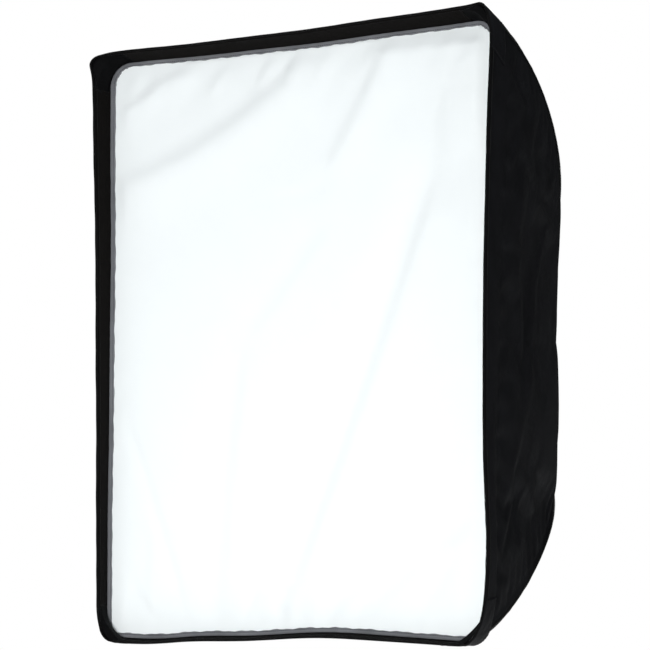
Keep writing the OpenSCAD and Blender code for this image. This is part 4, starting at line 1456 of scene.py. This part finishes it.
STAND_HEIGHT = 0.9
FLOOR_SIZE, FLOOR_STEPS = 14, 24
CAMERA_LENS = 164.8
CAMERA_AT = (2.2157, -3.8803, -0.2954)
CAMERA_TURN = (math.radians(33.02), math.radians(4.405), math.radians(1.41))


def camera():
    """Seen from the object's right and a little below, as photographed."""
    cam = bpy.data.cameras.new("camera")
    cam.lens = CAMERA_LENS
    cam.sensor_width = 36
    holder = bpy.data.objects.new("camera", cam)
    bpy.context.scene.collection.objects.link(holder)
    holder.location = CAMERA_AT
    yaw, pitch, roll = CAMERA_TURN
    forward = Vector((-math.sin(yaw) * math.cos(pitch), math.cos(yaw) * math.cos(pitch),
                      math.sin(pitch)))
    turn = forward.to_track_quat("-Z", "Y")
    holder.rotation_mode = "QUATERNION"
    holder.rotation_quaternion = turn @ Quaternion((0, 0, 1), roll)
    bpy.context.scene.camera = holder


def area_light(name, at, toward, size, power, tint=(1, 1, 1), spread=math.pi):
    data = bpy.data.lights.new(name, "AREA")
    data.shape = "RECTANGLE"
    data.size, data.size_y = size
    data.energy = power
    data.spread = spread
    data.color = tint
    lamp = bpy.data.objects.new(name, data)
    bpy.context.scene.collection.objects.link(lamp)
    lamp.location = at
    lamp.rotation_mode = "QUATERNION"
    lamp.rotation_quaternion = (Vector(toward) - Vector(at)).to_track_quat("-Z", "Y")


def studio():
    low = CAD_BOX[0][2] - STAND_HEIGHT
    lin = np.linspace(-FLOOR_SIZE, FLOOR_SIZE, FLOOR_STEPS)
    x, y = np.meshgrid(lin, lin, indexing="ij")
    verts = np.stack([x, y, np.full_like(x, low)], -1).reshape(-1, 3)
    uv = verts[:, :2]
    floor = new_piece("studio_floor", verts, grid_faces(FLOOR_STEPS, FLOOR_STEPS), uv)
    mat, tree, shader = node_tree("studio_floor")
    tone = noise(tree, object_of(tree), 0.4, 2)
    tree.links.new(ramp(tree, tone, (0.93, 0.93, 0.93), (0.95, 0.95, 0.95)),
                   shader.inputs["Base Color"])
    shader.inputs["Roughness"].default_value = 0.9
    shader.inputs["Specular IOR Level"].default_value = 0.1
    dress(floor, mat)
    world = bpy.data.worlds.new("studio")
    world.use_nodes = True
    tree = world.node_tree
    seen = tree.nodes["Background"]
    seen.inputs["Color"].default_value = (1, 1, 1, 1)
    seen.inputs["Strength"].default_value = 1.0
    toward = add(tree, "ShaderNodeTexCoord").outputs["Generated"]
    behind = add(tree, "ShaderNodeSeparateXYZ", [(0, toward)]).outputs["Y"]
    links = [("Value", behind), ("From Min", -0.2), ("From Max", 0.7), ("To Min", 0.36),
             ("To Max", 0.05)]
    level = add(tree, "ShaderNodeMapRange", links).outputs["Result"]
    room = add(tree, "ShaderNodeBackground", [("Color", (0.93, 0.97, 1.0, 1)), ("Strength", level)])
    camera_ray = add(tree, "ShaderNodeLightPath").outputs["Is Camera Ray"]
    links = [(0, camera_ray), (1, room.outputs[0]), (2, seen.outputs[0])]
    mixed = add(tree, "ShaderNodeMixShader", links)
    tree.links.new(mixed.outputs[0], tree.nodes["World Output"].inputs["Surface"])
    bpy.context.scene.world = world
    bpy.context.scene.view_settings.view_transform = "Standard"
    area_light("key", (1.6, -4.55, -0.6), (-0.18, -0.55, -0.25), (1.2, 1.2), 24,
               (0.985, 1.0, 1.0), math.radians(70))
    area_light("overhead", (0, 0.6, 3.4), (0, 0.61, 0), (3.0, 3.0), 90)
    area_light("side", (3.4, -1.6, 1.2), (0.2, -0.3, 0), (1.2, 2.6), 8, (0.9, 0.95, 1.0))
    area_light("back_fill", (-2.6, 2.4, 2.4), (0, -0.2, 0), (1.6, 1.6), 110)


camera()
studio()
dress_cad()
for side in range(4):
    panel(side)
    lip_tape(side)
    flap(side)
for corner in range(4):
    corner_patch(corner)
    corner_seam(corner)
    rod(corner)
    pocket(corner)
rod_cap()
rim_binding()
rear_hem()
ring_band()
diffuser()
baffle()

cad_objects = set(frame["nodes"].values())
made = [o for o in bpy.context.scene.objects if o.type == "MESH" and o not in cad_objects]
hang_all([o for o in made if o.name != "studio_floor"])
